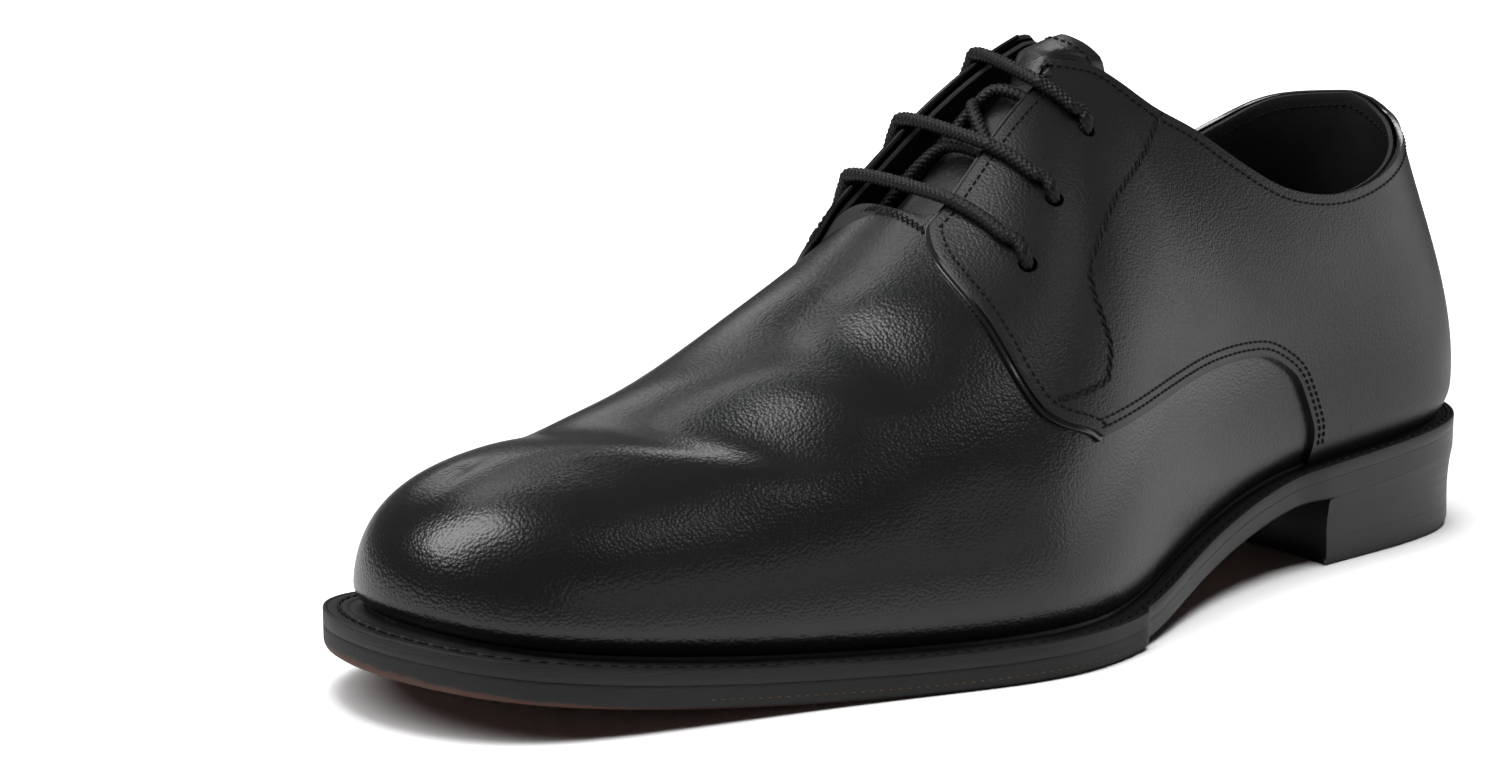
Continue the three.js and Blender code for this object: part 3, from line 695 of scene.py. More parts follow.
def coons(bottom, top, left, right, rows, columns):
    """Points between four lines: rows run along bottom and top, columns from bottom to top."""
    s, t = np.linspace(0, 1, rows)[:, None, None], np.linspace(0, 1, columns)[None, :, None]
    b, p = resample(bottom, rows)[:, None], resample(top, rows)[:, None]
    le, ri = resample(left, columns)[None], resample(right, columns)[None]
    corners = (1 - s) * (1 - t) * b[0] + s * (1 - t) * b[-1] + (1 - s) * t * p[0] + s * t * p[-1]
    return (1 - t) * b + t * p + (1 - s) * le + s * ri - corners


# The upper
def quarter_patches(side):
    """(u, v) grids of a quarter's rear half and front half, with the column between them shared."""
    edge = EDGES[side]
    arch = along_leather(side, edge["arch"], 260)
    way = np.gradient(on_last(arch[:, 0], arch[:, 1]), axis=0)
    turn = ARCH_FOOT + int(np.argmax(abs(way[ARCH_FOOT:, 2]) < abs(way[ARCH_FOOT:, 1])))
    riser, roof = arch[: turn + 1], arch[turn:]
    crown = along_leather(side, rounded(np.vstack([edge["top"], edge["facing"]]), 12), 400)
    meet = int(np.argmin(abs(crown[:, 0] - QUARTER_SPLIT)))
    split = resample([roof[0], crown[meet]], 90)
    right = np.vstack([resample(riser, 30)[:-1], split])
    rear = coons([[0, 0], riser[0]], crown[: meet + 1], [[0, 0], crown[0]], right, 110, len(right))
    rear[-1] = right
    lower, upper = along_leather(side, roof, 120), along_leather(side, crown[meet:], 120)
    end = along_leather(side, rounded(edge["front"], 4), len(split))
    front = coons(lower, upper, split, end, 120, len(split))
    front[0] = split
    return rear, front


def ease_ridge(points, middle, reach=9, rounds=14, fade=0):
    """Smooths a sheet across its ridge column, where the last's two sides meet; it fades over the last rows."""
    columns = np.arange(points.shape[1])
    near = np.clip(1 - abs(columns - middle) / reach, 0, 1)[None, 1:-1, None]
    if fade:
        near = near * np.clip(np.arange(len(points))[::-1] / fade, 0, 1)[:, None, None]
    for _ in range(rounds):
        points[:, 1:-1] += near * ((points[:, :-2] + points[:, 2:]) / 2 - points[:, 1:-1])
    return points


def ease_pole(points, middle, reach=20, rounds=60):
    """Smooths a sheet round the ridge's end at the toe, where its last row is folded onto itself."""
    rows, columns = points.shape[:2]
    ahead = np.arange(rows)[::-1][:, None] / reach
    beside = abs(np.arange(columns) - middle)[None] / reach
    near = 0.8 * np.clip(1 - np.hypot(ahead, beside), 0, 1)[1:, 1:-1, None]
    for _ in range(rounds):
        grown = np.concatenate([points, points[-2:-1, ::-1]])
        mean = (grown[:-2, 1:-1] + grown[2:, 1:-1] + points[1:, :-2] + points[1:, 2:]) / 4
        points[1:, 1:-1] += near * (mean - points[1:, 1:-1])
    return points


def vamp_edge(side, u):
    """The vamp's hidden upper edge, the same on both sides: it stops a little way under the quarter."""
    return np.interp(u, [0.1, 0.2, 0.25, THROAT_U - 0.012, THROAT_U], [0.36, 0.36, 0.42, 0.72, 0.9])


def lining_edge(side, u):
    """The lining's upper edge: it follows the top line and the facing."""
    line = np.vstack([EDGES[side]["top"], EDGES[side]["facing"]])
    return np.interp(u, line[:, 0], line[:, 1])


def upper_sheet(name, edge_at, columns, u_start, lift, thickness, front_rows=150, back_rows=70, spread=0.0):
    """One sheet over toe and sides: flaps at each side of the throat, joined to the front across the ridge."""
    t = np.linspace(0, 1, columns)
    us = np.linspace(THROAT_U, 0.5, front_rows)[:, None]
    across = np.concatenate([t, t[:-1][::-1]])[None] + 0 * us
    lateral = np.arange(2 * columns - 1)[None] < columns
    front = leather(np.where(lateral, us, 1 - us), across, lift, 1, spread)
    front = ease_pole(ease_ridge(front, columns - 1, fade=16), columns - 1)
    pieces = [grid_piece("front", front, LEATHER_UV, merge=True)]
    for side, shared in ((1, front[0, :columns]), (-1, front[0, columns - 1 :][::-1])):
        back = np.concatenate([np.linspace(u_start, THROAT_U - 0.0008, back_rows), [THROAT_U]])
        v = np.concatenate([edge_at(side, back[:-1]), [1.0]])[:, None] * t[None]
        flap = leather(mirrored(side, back)[:, None] + 0 * v, v, lift, 1, spread)
        flap[-1] = shared
        pieces.append(grid_piece("flap", flap, LEATHER_UV, flip=side < 0, merge=True))
    return thicken(joined(name, pieces), thickness, 0.25)


# Materials
class Tree:
    """The nodes of a material or a node group, with short ways to add them."""

    def __init__(self, tree):
        self.nodes, self.links = tree.nodes, tree.links

    def put(self, node, values):
        """Sets inputs of a node, each to a value or to what another node gives."""
        for name, value in values.items():
            if isinstance(value, bpy.types.NodeSocket):
                self.links.new(value, node.inputs[name])
            else:
                node.inputs[name].default_value = value
        return node

    def add(self, kind, values, **settings):
        node = self.nodes.new("ShaderNode" + kind)
        for name, value in settings.items():
            setattr(node, name, value)
        return self.put(node, values).outputs

    def object_place(self):
        return self.add("TexCoord", {})["Object"]

    def noise(self, where, scale, detail=2):
        return self.add("TexNoise", {"Vector": where, "Scale": scale, "Detail": detail})["Fac"]

    def attribute(self, name):
        return self.add("Attribute", {}, attribute_name=name)["Fac"]

    def math(self, operation, *values, clamp=False):
        return self.add("Math", dict(enumerate(values)), operation=operation, use_clamp=clamp)[0]

    def mapped(self, value, from_low, from_high, to_low=0.0, to_high=1.0):
        names = ("Value", "From Min", "From Max", "To Min", "To Max")
        return self.add("MapRange", dict(zip(names, (value, from_low, from_high, to_low, to_high))))[0]

    def blend(self, factor, low, high):
        """A colour between two, by a factor."""
        low, high = (c if isinstance(c, bpy.types.NodeSocket) else (*c, 1) for c in (low, high))
        return self.add("Mix", {"Factor": factor, "A": low, "B": high}, data_type="RGBA")["Result"]

    def bump(self, height, depth):
        return self.add("Bump", {"Height": height, "Distance": depth * MM})["Normal"]

    def grain(self, where, cells, swell=0.5):
        """The leather grain's height and cloud."""
        if GRAIN not in bpy.data.node_groups:
            make_grain()
        values = {"Vector": where, "Cells per metre": cells, "Swell": swell}
        node = self.nodes.new("ShaderNodeGroup")
        node.node_tree = bpy.data.node_groups[GRAIN]
        outputs = self.put(node, values).outputs
        return outputs["Height"], outputs["Cloud"]


def new_material(name):
    material = bpy.data.materials.new(name)
    material.use_nodes = True
    return material, Tree(material.node_tree), material.node_tree.nodes["Principled BSDF"]


def shaded(colour, factor):
    return tuple(c * factor for c in colour)


def make_grain():
    """Fine pebbled grain: rounded cells with creases between them, and a slow swell."""
    group = bpy.data.node_groups.new(GRAIN, "ShaderNodeTree")
    group.interface.new_socket(name="Vector", in_out="INPUT", socket_type="NodeSocketVector")
    for name, value in (("Cells per metre", 1500.0), ("Swell", 0.5)):
        group.interface.new_socket(name=name, in_out="INPUT", socket_type="NodeSocketFloat").default_value = value
    for name in ("Height", "Cloud"):
        group.interface.new_socket(name=name, in_out="OUTPUT", socket_type="NodeSocketFloat")
    tree, start = Tree(group), group.nodes.new("NodeGroupInput").outputs
    where = start["Vector"]
    warp = tree.add("TexNoise", {"Vector": where, "Scale": 700, "Detail": 2})["Color"]
    shift = tree.add("VectorMath", {0: warp, "Scale": 0.00015}, operation="SCALE")[0]
    place = tree.add("VectorMath", {0: where, 1: shift})[0]
    cells = tree.add("TexVoronoi", {"Vector": place, "Scale": start["Cells per metre"], "Randomness": 0.85})
    cloud = tree.noise(where, 38, 4)
    dome = tree.math("SUBTRACT", 1.0, cells["Distance"])
    height = tree.math("ADD", dome, tree.math("MULTIPLY", tree.noise(where, 4200), 0.3))
    height = tree.math("ADD", height, tree.math("MULTIPLY", cloud, start["Swell"]))
    tree.put(group.nodes.new("NodeGroupOutput"), {"Height": height, "Cloud": cloud})


def leather_material(name, colour, rough, cells, depth, coat, coat_rough, swell=0.5, spread=0.08):
    """Leather: its grain stands depth millimetres high, and its roughness varies by spread each way."""
    material, tree, shader = new_material(name)
    height, cloud = tree.grain(tree.object_place(), cells, swell)
    tree.put(shader, {
        "Base Color": tree.blend(cloud, shaded(colour, 0.72), shaded(colour, 1.3)),
        "Roughness": tree.mapped(cloud, 0.3, 0.7, rough - spread, rough + spread),
        "Normal": tree.bump(height, depth),
        "Specular IOR Level": 0.5,
        "Coat Weight": coat,
        "Coat Roughness": coat_rough,
    })
    return material


def thread_material(name, colour, rough):
    material, tree, shader = new_material(name)
    twist = tree.noise(tree.object_place(), 3500)
    base = tree.blend(twist, colour, shaded(colour, 3))
    tree.put(shader, {"Base Color": base, "Roughness": rough, "Specular IOR Level": 0.2})
    return material


def lace_material(name, colour):
    """Braided cord: diagonal strands that pass over and under, from the piece's UV map in millimetres; its colour
    holds painted shade in the grooves between strands and a painted highlight on their crowns.
    """
    material, tree, shader = new_material(name)
    where = tree.add("TexCoord", {})
    place = tree.add("SeparateXYZ", {0: where["UV"]})
    around = tree.math("MULTIPLY", place["X"], STRANDS / LACE_RADIUS)
    along = tree.math("MULTIPLY", place["Y"], math.pi / BRAID_PITCH)
    one, two = (tree.math("SINE", tree.math(way, around, along)) for way in ("ADD", "SUBTRACT"))
    weave = tree.math("POWER", tree.math("ABSOLUTE", tree.math("MULTIPLY", one, two)), 0.5)
    # Painted shade and highlight: the cord is near black where the weave dips between the strands and lighter on
    # the strands' crowns.
    tree.put(shader, {
        "Base Color": tree.blend(tree.mapped(weave, 0.3, 0.95), shaded(colour, 0.1), shaded(colour, 2)),
        "Normal": tree.bump(tree.noise(where["Object"], 5000, 3), 0.05),
        "Specular IOR Level": 0.3,
        "Roughness": 0.45,
    })
    return material


def sole_material(name, colour, rough, depth, worn=False, streaks=1.0, burnished=False):
    """Dyed, sanded sole leather: fine streaks along the edge, and worn or burnished where a piece is marked so."""
    material, tree, shader = new_material(name)
    where = tree.object_place()
    stretched = tree.add("Mapping", {"Vector": where, "Scale": (60, 60, 2200)})[0]
    streak = tree.noise(stretched, 1, 3)
    grain, cloud = tree.grain(where, 1800.0, 0.3)
    height = tree.math("ADD", tree.math("MULTIPLY", streak, streaks), tree.math("MULTIPLY", grain, 0.35))
    shade = tree.math("MULTIPLY", tree.math("ADD", streak, cloud), 0.5)
    base = tree.blend(tree.mapped(shade, 0.35, 0.65), shaded(colour, 0.6), shaded(colour, 1.6))
    dull = tree.mapped(shade, 0.3, 0.7, rough - 0.1, rough + 0.1)
    if burnished:
        smooth = tree.attribute("burnished")
        height = tree.math("MULTIPLY", height, tree.math("SUBTRACT", 1.15, smooth))
        dull = tree.math("SUBTRACT", dull, tree.math("MULTIPLY", smooth, rough - 0.33))
    if worn:
        marked = tree.attribute("worn")
        broken = tree.math("ADD", marked, tree.math("SUBTRACT", tree.noise(where, 350, 4), 0.5))
        mask = tree.math("MULTIPLY", tree.mapped(broken, 0.5, 0.7), marked, clamp=True)
        base = tree.blend(mask, base, WORN_COLOUR)
    bump = tree.bump(height, depth)
    tree.put(shader, {"Base Color": base, "Roughness": dull, "Normal": bump, "Specular IOR Level": 0.45})
    return material


MATERIALS = {}


def look_of(name):
    """A material by its short name; all of them are made when the first is asked for."""
    if not MATERIALS:
        look = bpy.context.scene.derby_look
        black, lining, gloss = tuple(look.leather), tuple(look.lining), look.gloss
        MATERIALS.update({
            "vamp": leather_material("black leather, vamp", black, gloss, 1400, 0.065, 0.12, 0.16, 0.05, 0.03),
            "quarter": leather_material(
                "black leather, quarters", black, gloss + 0.12, 1500, 0.06, 0.0, 0.3, 0.1, 0.05
            ),
            "tongue": leather_material("black leather, tongue", black, gloss + 0.08, 1500, 0.055, 0.0, 0.2, 0.1),
            "lining": leather_material("black lining leather", lining, 0.62, 2400, 0.03, 0.0, 0.4),
            "edge": leather_material("dyed leather edge", black, 0.17, 2600, 0.008, 0.5, 0.08, 0.1, 0.02),
            "thread": thread_material("black thread", (0.002, 0.002, 0.002), 0.55),
            "lace": lace_material("black waxed cord", tuple(look.lace)),
            "welt": sole_material("dyed welt", (0.005, 0.0049, 0.0048), 0.55, 0.09, burnished=True),
            "outsole": sole_material("dyed sole edge", tuple(look.sole), 0.62, 0.1, worn=True, burnished=True),
            "tan": thread_material("tan thread", (0.05, 0.028, 0.013), 0.7),
            "heel": sole_material("burnished heel", (0.007, 0.007, 0.0075), 0.36, 0.015, streaks=0.08),
            "rubber": sole_material("black rubber", (0.006, 0.006, 0.0063), 0.38, 0.015, streaks=0.08),
        })
    return MATERIALS[name]


# Sole, welt and heel
def forefoot(along):
    """1 in front of the waist, 0 behind it."""
    return ease(along, WAIST_END - WAIST_STEP, WAIST_END + WAIST_STEP)


def welt_width(along):
    """Visible width of the welt, with the step where the waist ends."""
    back = mix(WELT_AT_HEEL, WELT_AT_WAIST, ease(along, 0, HEEL_LENGTH)) - ease(along, HEEL_LENGTH, WAIST_START)
    front = mix(WELT_AT_BALL, WELT_AT_TOE, ease(along, FLAT_END, SOLE_LENGTH))
    return mix(back, front, forefoot(along))


def edge_cut(along):
    """How far the outsole's lower edge is cut in: a rounding, and a wide bevel at the waist."""
    return mix(0.9, 3.0, ease(along, HEEL_LENGTH, WAIST_START) * (1 - forefoot(along)))


def feather(u):
    """Feather line in plan, its way out and its place along."""
    before, after, here = on_last(u - 1e-3, 0), on_last(u + 1e-3, 0), on_last(u, 0)
    way = unit(np.stack([before[..., 1] - after[..., 1], after[..., 0] - before[..., 0], 0 * here[..., 0]], -1))
    return here * [1, 1, 0], way, along_of(here)


def outsole_levels(along):
    """The outsole's side from below: distance out from the feather line and height of each level."""
    lower = edge_cut(along) * ease(along, HEEL_LENGTH - 2, HEEL_LENGTH + 4)
    for cut, extra, share in OUTSOLE_EDGE:
        out = welt_width(along) - 0.6 * extra * forefoot(along) - cut * lower
        yield out, sole_bottom(along) + share * OUTSOLE_THICKNESS


def insole_levels(along):
    """The insole's side from below, as outsole_levels."""
    for out, height in ((-2.3, 0.3), (-2.3, 3.8), (-2.8, 4.3)):
        yield out + 0 * along, sole_top(along) + height


def rim_rows(u, levels):
    """Rings round the rim, one for each level."""
    here, way, along = feather(u)
    rings = []
    for out, height in levels(along):
        ring = here + way * out[..., None]
        ring[..., 2] = height
        rings.append(ring)
    return np.array(rings)


def slab(name, levels, rows=260, across=24):
    """A closed slab that follows the sole: its sections run up one rim, over, down the other rim and back."""
    t = np.linspace(0, 1, rows)
    u = 0.25 * t + 0.125 * (1 - np.cos(math.pi * t))
    lateral, medial = rim_rows(u, levels), rim_rows(1 - u, levels)
    t = np.linspace(0, 1, across)[1:-1, None, None]
    over = mix(lateral[-1][None], medial[-1][None], t)
    under = mix(medial[0][None], lateral[0][None], t)
    loop = np.concatenate([lateral, over, medial[::-1], under, lateral[:1]])
    return closed(grid_piece(name, loop.transpose(1, 0, 2), (300, 40), merge=True))


def welt_ring(name, levels, count=480):
    """A ring round the whole sole, its section a closed loop of (share of the width, extra distance, height)."""
    here, way, along = feather(np.linspace(0, 1, count + 1))
    loop = []
    for share, extra, height in [*levels, levels[0]]:
        point = here + way * (share * welt_width(along) + extra)[..., None]
        point[..., 2] = sole_top(along) + CLEARANCE + height
        loop.append(point)
    loop = np.array(loop)
    loop[:, -1] = loop[:, 0]
    return closed(grid_piece(name, loop.transpose(1, 0, 2), (800, 20), merge=True))


def heel_rim(u, inset_by):
    here, way, along = feather(u)
    return here + way * (welt_width(along) - HEEL_INSET - inset_by)[..., None]


def heel_outline(inset_by):
    """Plan of the heel from its medial breast corner round the back, then along the hollow breast."""
    half = LAST[2][1] * HALF_BALL + WELT_AT_HEEL
    us = np.linspace(0.02, 0.2, 900)
    ends = []
    for side in (-1, 1):
        point = heel_rim(mirrored(side, us), inset_by)
        breast = HEEL_LENGTH - BREAST_HOLLOW * (1 - (point[:, 0] / half) ** 2)
        ends.append(us[np.argmax(along_of(point) > breast)])
    u = np.concatenate([np.linspace(-ends[0], 0, 60)[:-1], np.linspace(0, ends[1], 60)])
    back = heel_rim(np.mod(u, 1), inset_by)
    x = np.linspace(back[-1][0], back[0][0], 40)[1:-1]
    y = SOLE_LENGTH / 2 - HEEL_LENGTH + BREAST_HOLLOW * (1 - (x / half) ** 2) + inset_by
    return np.vstack([back, np.stack([x, y, 0 * x], -1), back[:1]])


def heel_block(name, levels, height_at):
    """A block of the heel from levels of (inset, level); height_at gives a level's height along the heel."""
    rings = [(heel_outline(inset_by), level) for inset_by, level in levels]
    low, high = (
        [(HEEL_MIDDLE + (ring - HEEL_MIDDLE) * share, level) for share in (0.0, 0.5, 0.9)]
        for ring, level in (rings[0], rings[-1])
    )
    rings = low + rings + high[::-1]
    for ring, level in rings:
        ring[:, 2] = height_at(level, along_of(ring))
    return closed(grid_piece(name, np.array([ring for ring, _ in rings]), (60, 220), merge=True))


def stack_height(share, along):
    """Height between the top piece and the outsole."""
    return mix(TOP_PIECE, heel_seat(along) - 0.05, share)


def flat_height(height, along):
    return height + 0 * along


# Tongue and lace
def tongue_sheet(rows=70, columns=70):
    """The tongue's face: it lies under the facings and rises to its own top behind the lace."""
    across = np.linspace(-1, 1, columns)[None]
    forward = np.linspace(0, 1, rows)[:, None] + 0 * across
    share = abs(across) + 0 * forward
    u = mix(mix(0.196, 0.18, share), ridge_u(THROAT + 10), forward)
    v = 1 - share * (1 - 0.52)
    middle = (1 - ease(share, 0.86, 1)) * (1 - ease(forward, 0.76, 0.95))
    spread = mix(1, 0.55, ease(forward, 0.03, 0.18))
    rise = (1 - ease(share / spread, 0.3, 0.52)) * (1 - ease(forward, 0.16, 0.32))
    sink = mix(mix(2.6, 6.2, middle), 1 - 2 * ease(share, 0, 0.3), rise)
    u = np.where(across >= 0, u, 1 - u)
    return ease_ridge(on_last(u, v) - outward(u, v) * sink[..., None], columns // 2, 6, 6)


def punch(piece, diameter):
    """Cuts the six lace holes through a piece."""
    cutters = []
    for side in (1, -1):
        for place, v in EYELETS:
            u = mirrored(side, place)
            way = outward(u, v)
            bpy.ops.mesh.primitive_cylinder_add(vertices=28, radius=diameter / 2 * MM, depth=12 * MM)
            cutter = bpy.context.object
            cutter.rotation_mode = "QUATERNION"
            cutter.rotation_quaternion = Vector(way).to_track_quat("Z", "Y")
            cutter.location = in_frame(on_last(u, v) + way * opened(u, v))
            bpy.ops.object.transform_apply(location=True, rotation=True, scale=True)
            cutters.append(cutter)
    tool = joined("cutter", cutters)
    only(piece)
    modify(piece, "BOOLEAN", operation="DIFFERENCE", solver="EXACT", object=tool)
    bpy.data.objects.remove(tool)
    only(piece)
    smooth_below(40)


def over_leather(place, v, side, distance):
    """A point of the lace above or below the leather on one side."""
    u = mirrored(side, place)
    return on_last(u, v) + outward(u, v) * (distance + opened(u, v))


def through(place, v, side):
    """The lace from below an eyelet to where it lies on the leather, turned towards the ridge."""
    over = QUARTER + LACE_RADIUS
    rows = [(0, -LACE_UNDER), (0, -1.2), (0.01, 0.8), (0.045, over - 0.4), (0.11, over)]
    return [over_leather(place, mix(v, 1, share), side, distance) for share, distance in rows]


def lace_bar(eyelet, start):
    """A bar over the facings: it leaves the leather at each facing's edge."""
    u, v = eyelet
    halves = {}
    for side, step in ((1, 0.0066), (-1, 0.001)):
        edge = EDGES[side]["facing"]
        halves[side] = []
        for share, lift in ((0.32, 0.05), (0.5, 0.05), (0.68, 0.05), (0.86, 0.08), (1.02, 0.2)):
            place = u + step * share
            reach = float(np.interp(place, edge[:, 0], edge[:, 1])) - v
            halves[side].append(over_leather(place, v + reach * share, side, QUARTER + LACE_RADIUS + lift))
    return through(u, v, start) + halves[start] + halves[-start][::-1] + through(u, v, -start)[::-1]


def lace_beneath(one, start, other, lift):
    """A run of the lace beneath the facings, from an eyelet on one side to one on the other."""
    points = []
    for t in np.arange(1, 6) / 6:
        across = mix(1, -1, t) * start
        share = abs(across)
        u, v = mix(one[0], other[0], t), mix(1, mix(one[1], other[1], t), share)
        u = 1 - u if across < 0 else u
        under = LACE_UNDER - lift * (1 - float(ease(share, 0.1, 0.4)))
        points.append(on_last(u, v) - outward(u, v) * under)
    return points


def below_eyelet(eyelet, side):
    u = mirrored(side, eyelet[0])
    return on_last(u, eyelet[1]) - outward(u, eyelet[1]) * LACE_UNDER


# Seams
def seam_line(side, line, distance, count=240, lift=QUARTER):
    """Points and ways of a seam set off from a (u, v) line of one side by a distance over the leather."""
    line = along_leather(side, line, count, lift)
    if distance:
        line = inset(side, line, distance, lift)
    u = mirrored(side, line[:, 0])
    return leather(u, line[:, 1], lift), outward(u, line[:, 1])


def twisted_seam(side):
    """The ornamental seam: two threads that wind about each other over the quarter."""
    path, ways = seam_line(side, smooth_through(ORNAMENT, 8), 0, 900)
    across = unit(np.cross(ways, np.gradient(path, axis=0)))
    threads = []
    for phase in (0, math.pi):
        turn = running(path) * 2 * math.pi / TWIST_LENGTH + phase
        wound = path + across * (0.5 * np.sin(turn))[:, None] + ways * (0.02 + 0.16 * np.cos(turn))[:, None]
        threads.append(tube("twist", wound[::2], 0.24))
    return threads


def throat_zigzag():
    """The zigzag of stitches along the vamp's edge at the throat."""
    half = 23
    v = np.concatenate([np.linspace(0.8, 1, half + 1), np.linspace(1, 0.78, half + 1)[1:]])
    count = np.arange(len(v))
    u = THROAT_U + np.where(count % 2, 0.0029, 0.0013)
    points = leather(np.where(count <= half, u, 1 - u), v, 0.12, 1, 0)
    return tube("zigzag", resample(points, 380), 0.17)


class DerbyLook(PropertyGroup):
    """Colours and finish of the shoe."""

    leather: FloatVectorProperty(
        name="Leather", description="Colour of the upper leather",
        default=(0.0034, 0.0035, 0.0038), subtype="COLOR", min=0, max=1,
    )
    lining: FloatVectorProperty(
        name="Lining", description="Colour of the lining",
        default=(0.006, 0.0055, 0.005), subtype="COLOR", min=0, max=1,
    )
    lace: FloatVectorProperty(
        name="Lace", description="Colour of the cord",
        default=(0.005, 0.005, 0.0054), subtype="COLOR", min=0, max=1,
    )
    sole: FloatVectorProperty(
        name="Sole edge", description="Colour of the dyed sole edge",
        default=(0.0058, 0.0056, 0.0055), subtype="COLOR", min=0, max=1,
    )
    gloss: FloatProperty(
        name="Roughness", description="Roughness of the vamp's leather",
        default=0.26, subtype="FACTOR", min=0.05, max=1,
    )


class DerbySeams(PropertyGroup):
    """Sizes of the sewing, in millimetres."""

    pitch: FloatProperty(
        name="Pitch", description="Distance between stitches on the upper, in millimetres",
        default=1.75, min=1, max=5,
    )
    stitch: FloatProperty(
        name="Stitch", description="Length of one stitch on the upper, in millimetres",
        default=1.35, min=0.5, max=5,
    )
    thread: FloatProperty(
        name="Thread", description="Radius of the upper's thread, in millimetres",
        default=0.26, min=0.1, max=1,
    )
    welt_pitch: FloatProperty(
        name="Welt pitch", description="Distance between the welt's stitches, in millimetres",
        default=3.3, min=1, max=8,
    )


class DERBY_OT_vamp(Operator):
    """Builds the vamp with its creases"""

    bl_idname = "derby.vamp"
    bl_label = "Vamp"

    def execute(self, context):
        finish_piece(upper_sheet("vamp", vamp_edge, 46, 0.1, 0.0, 0.9), "vamp", "upper_leather", "upper")
        return {"FINISHED"}


class DERBY_OT_quarters(Operator):
    """Builds both quarters with their eyelet holes"""

    bl_idname = "derby.quarters"
    bl_label = "Quarters"

    def execute(self, context):
        pieces = []
        for side in (1, -1):
            for patch in quarter_patches(side):
                points = leather(mirrored(side, patch[..., 0]), patch[..., 1], QUARTER)
                pieces.append(grid_piece("patch", points, LEATHER_UV, flip=side < 0, merge=True))
        quarters = thicken(joined("quarters", pieces), QUARTER, 0.42, rim=True)
        punch(quarters, 4.0)
        finish_piece(quarters, "quarter", "upper_leather", rim="edge")
        return {"FINISHED"}


class DERBY_OT_edges(Operator):
    """Builds the under-layer that shows beyond the quarters' front and facing edges"""

    bl_idname = "derby.edges"
    bl_label = "Edges"

    def execute(self, context):
        pieces = []
        for side in (1, -1):
            edge = EDGES[side]
            line = np.vstack([edge["facing"][:-1], edge["front"][::-1]])
            line = along_leather(side, rounded(line, 10), 360)
            patch = np.stack([inset(side, line, distance, 0.8) for distance in (-1.6, -0.4, 0.3, 0.8, 1.1)], 1)
            points = leather(mirrored(side, patch[..., 0]), patch[..., 1], 0.72)
            pieces.append(grid_piece("strip", points, (300, 3), flip=side < 0))
        finish_piece(thicken(joined("edge_layer", pieces), 0.62, 0.22), "edge", "upper_leather")
        return {"FINISHED"}


class DERBY_OT_lining(Operator):
    """Builds the lining of the whole upper"""

    bl_idname = "derby.lining"
    bl_label = "Lining"

    def execute(self, context):
        finish_piece(upper_sheet("lining", lining_edge, 44, 0.0, -0.95, 1.0, 90, 170, 1.0), "lining", "lining")
        return {"FINISHED"}


class DERBY_OT_tongue(Operator):
    """Builds the tongue"""

    bl_idname = "derby.tongue"
    bl_label = "Tongue"

    def execute(self, context):
        piece = thicken(grid_piece("tongue", tongue_sheet(), (60, 70), flip=True), 1.8, 0.4)
        finish_piece(piece, "tongue", "upper_leather", "tongue")
        return {"FINISHED"}


class DERBY_OT_lace(Operator):
    """Laces the shoe: three bars and the runs beneath them"""

    bl_idname = "derby.lace"
    bl_label = "Lace"

    def execute(self, context):
        bottom, middle, top = EYELETS
        main = lace_bar(top, -1) + lace_beneath(top, 1, middle, 0) + lace_bar(middle, -1)
        main += lace_beneath(middle, 1, bottom, 0) + lace_bar(bottom, -1)
        back = [below_eyelet(bottom, 1)] + lace_beneath(bottom, 1, top, 1.2) + [below_eyelet(top, -1)]
        cords = []
        for points in (main, back):
            path = smooth_through(points, 16)
            path = resample(path, int(running(path)[-1] / 0.29))
            cords.append(tube("cord", path, LACE_RADIUS, 36, BRAID_DEPTH))
        piece = gathered("lace_cord", cords)
        bpy.ops.object.shade_smooth()
        finish_piece(piece, "lace", "lace", "lace")
        return {"FINISHED"}


class DERBY_OT_seams(Operator):
    """Sews the upper"""

    bl_idname = "derby.seams"
    bl_label = "Seams"

    def execute(self, context):
        look = context.scene.derby_seams
        sizes = (look.stitch, look.pitch, look.thread)
        rows = []
        for side in (1, -1):
            edge = EDGES[side]
            arch = edge["arch"][edge["arch"][:, 1] > 0.04]
            for line, distance in (
                (arch, 1.7), (arch, 3.3), (edge["front"], 2.5), (edge["facing"], -2.3), (edge["top"], -2.2),
            ):
                rows.append(stitch_row(*seam_line(side, line, distance), *sizes))
            rows += twisted_seam(side)
            path, ways = seam_line(side, edge["top"], -3.0, lift=-1.95)
            rows.append(stitch_row(path, -ways, *sizes))
        finish_piece(gathered("seams", rows), "thread", "upper_leather")
        top = tongue_sheet()[4, 6:-6]
        rows = [throat_zigzag(), stitch_row(top, np.tile([0.0, -0.2, 1.0], (len(top), 1)), *sizes)]
        finish_piece(gathered("throat_and_tongue_seams", rows), "thread", "upper_leather")
        return {"FINISHED"}


class DERBY_OT_welt(Operator):
    """Builds the welt and its stitching"""

    bl_idname = "derby.welt"
    bl_label = "Welt"

    def execute(self, context):
        welt = welt_ring("welt_strip", WELT_SECTION)
        place = vertices_of(welt) / MM
        along = along_of(place)
        mark(welt, "burnished", (1 - forefoot(along)) * (1 - ease(place[:, 2] - sole_top(along), 1.6, 2.4)))
        finish_piece(welt, "welt", "sole_leather", "welt")
        here, way, along = feather(np.linspace(0, 1, 1201))
        path = here + way * (0.48 * welt_width(along))[..., None]
        path[:, 2] = welt_top(along) - 0.3
        ways = np.tile([0.0, 0.0, 1.0], (len(path), 1))
        row = stitch_row(path, ways, 2.5, context.scene.derby_seams.welt_pitch, 0.34, "welt_stitches")
        finish_piece(row, "thread", "sole_leather")
        return {"FINISHED"}


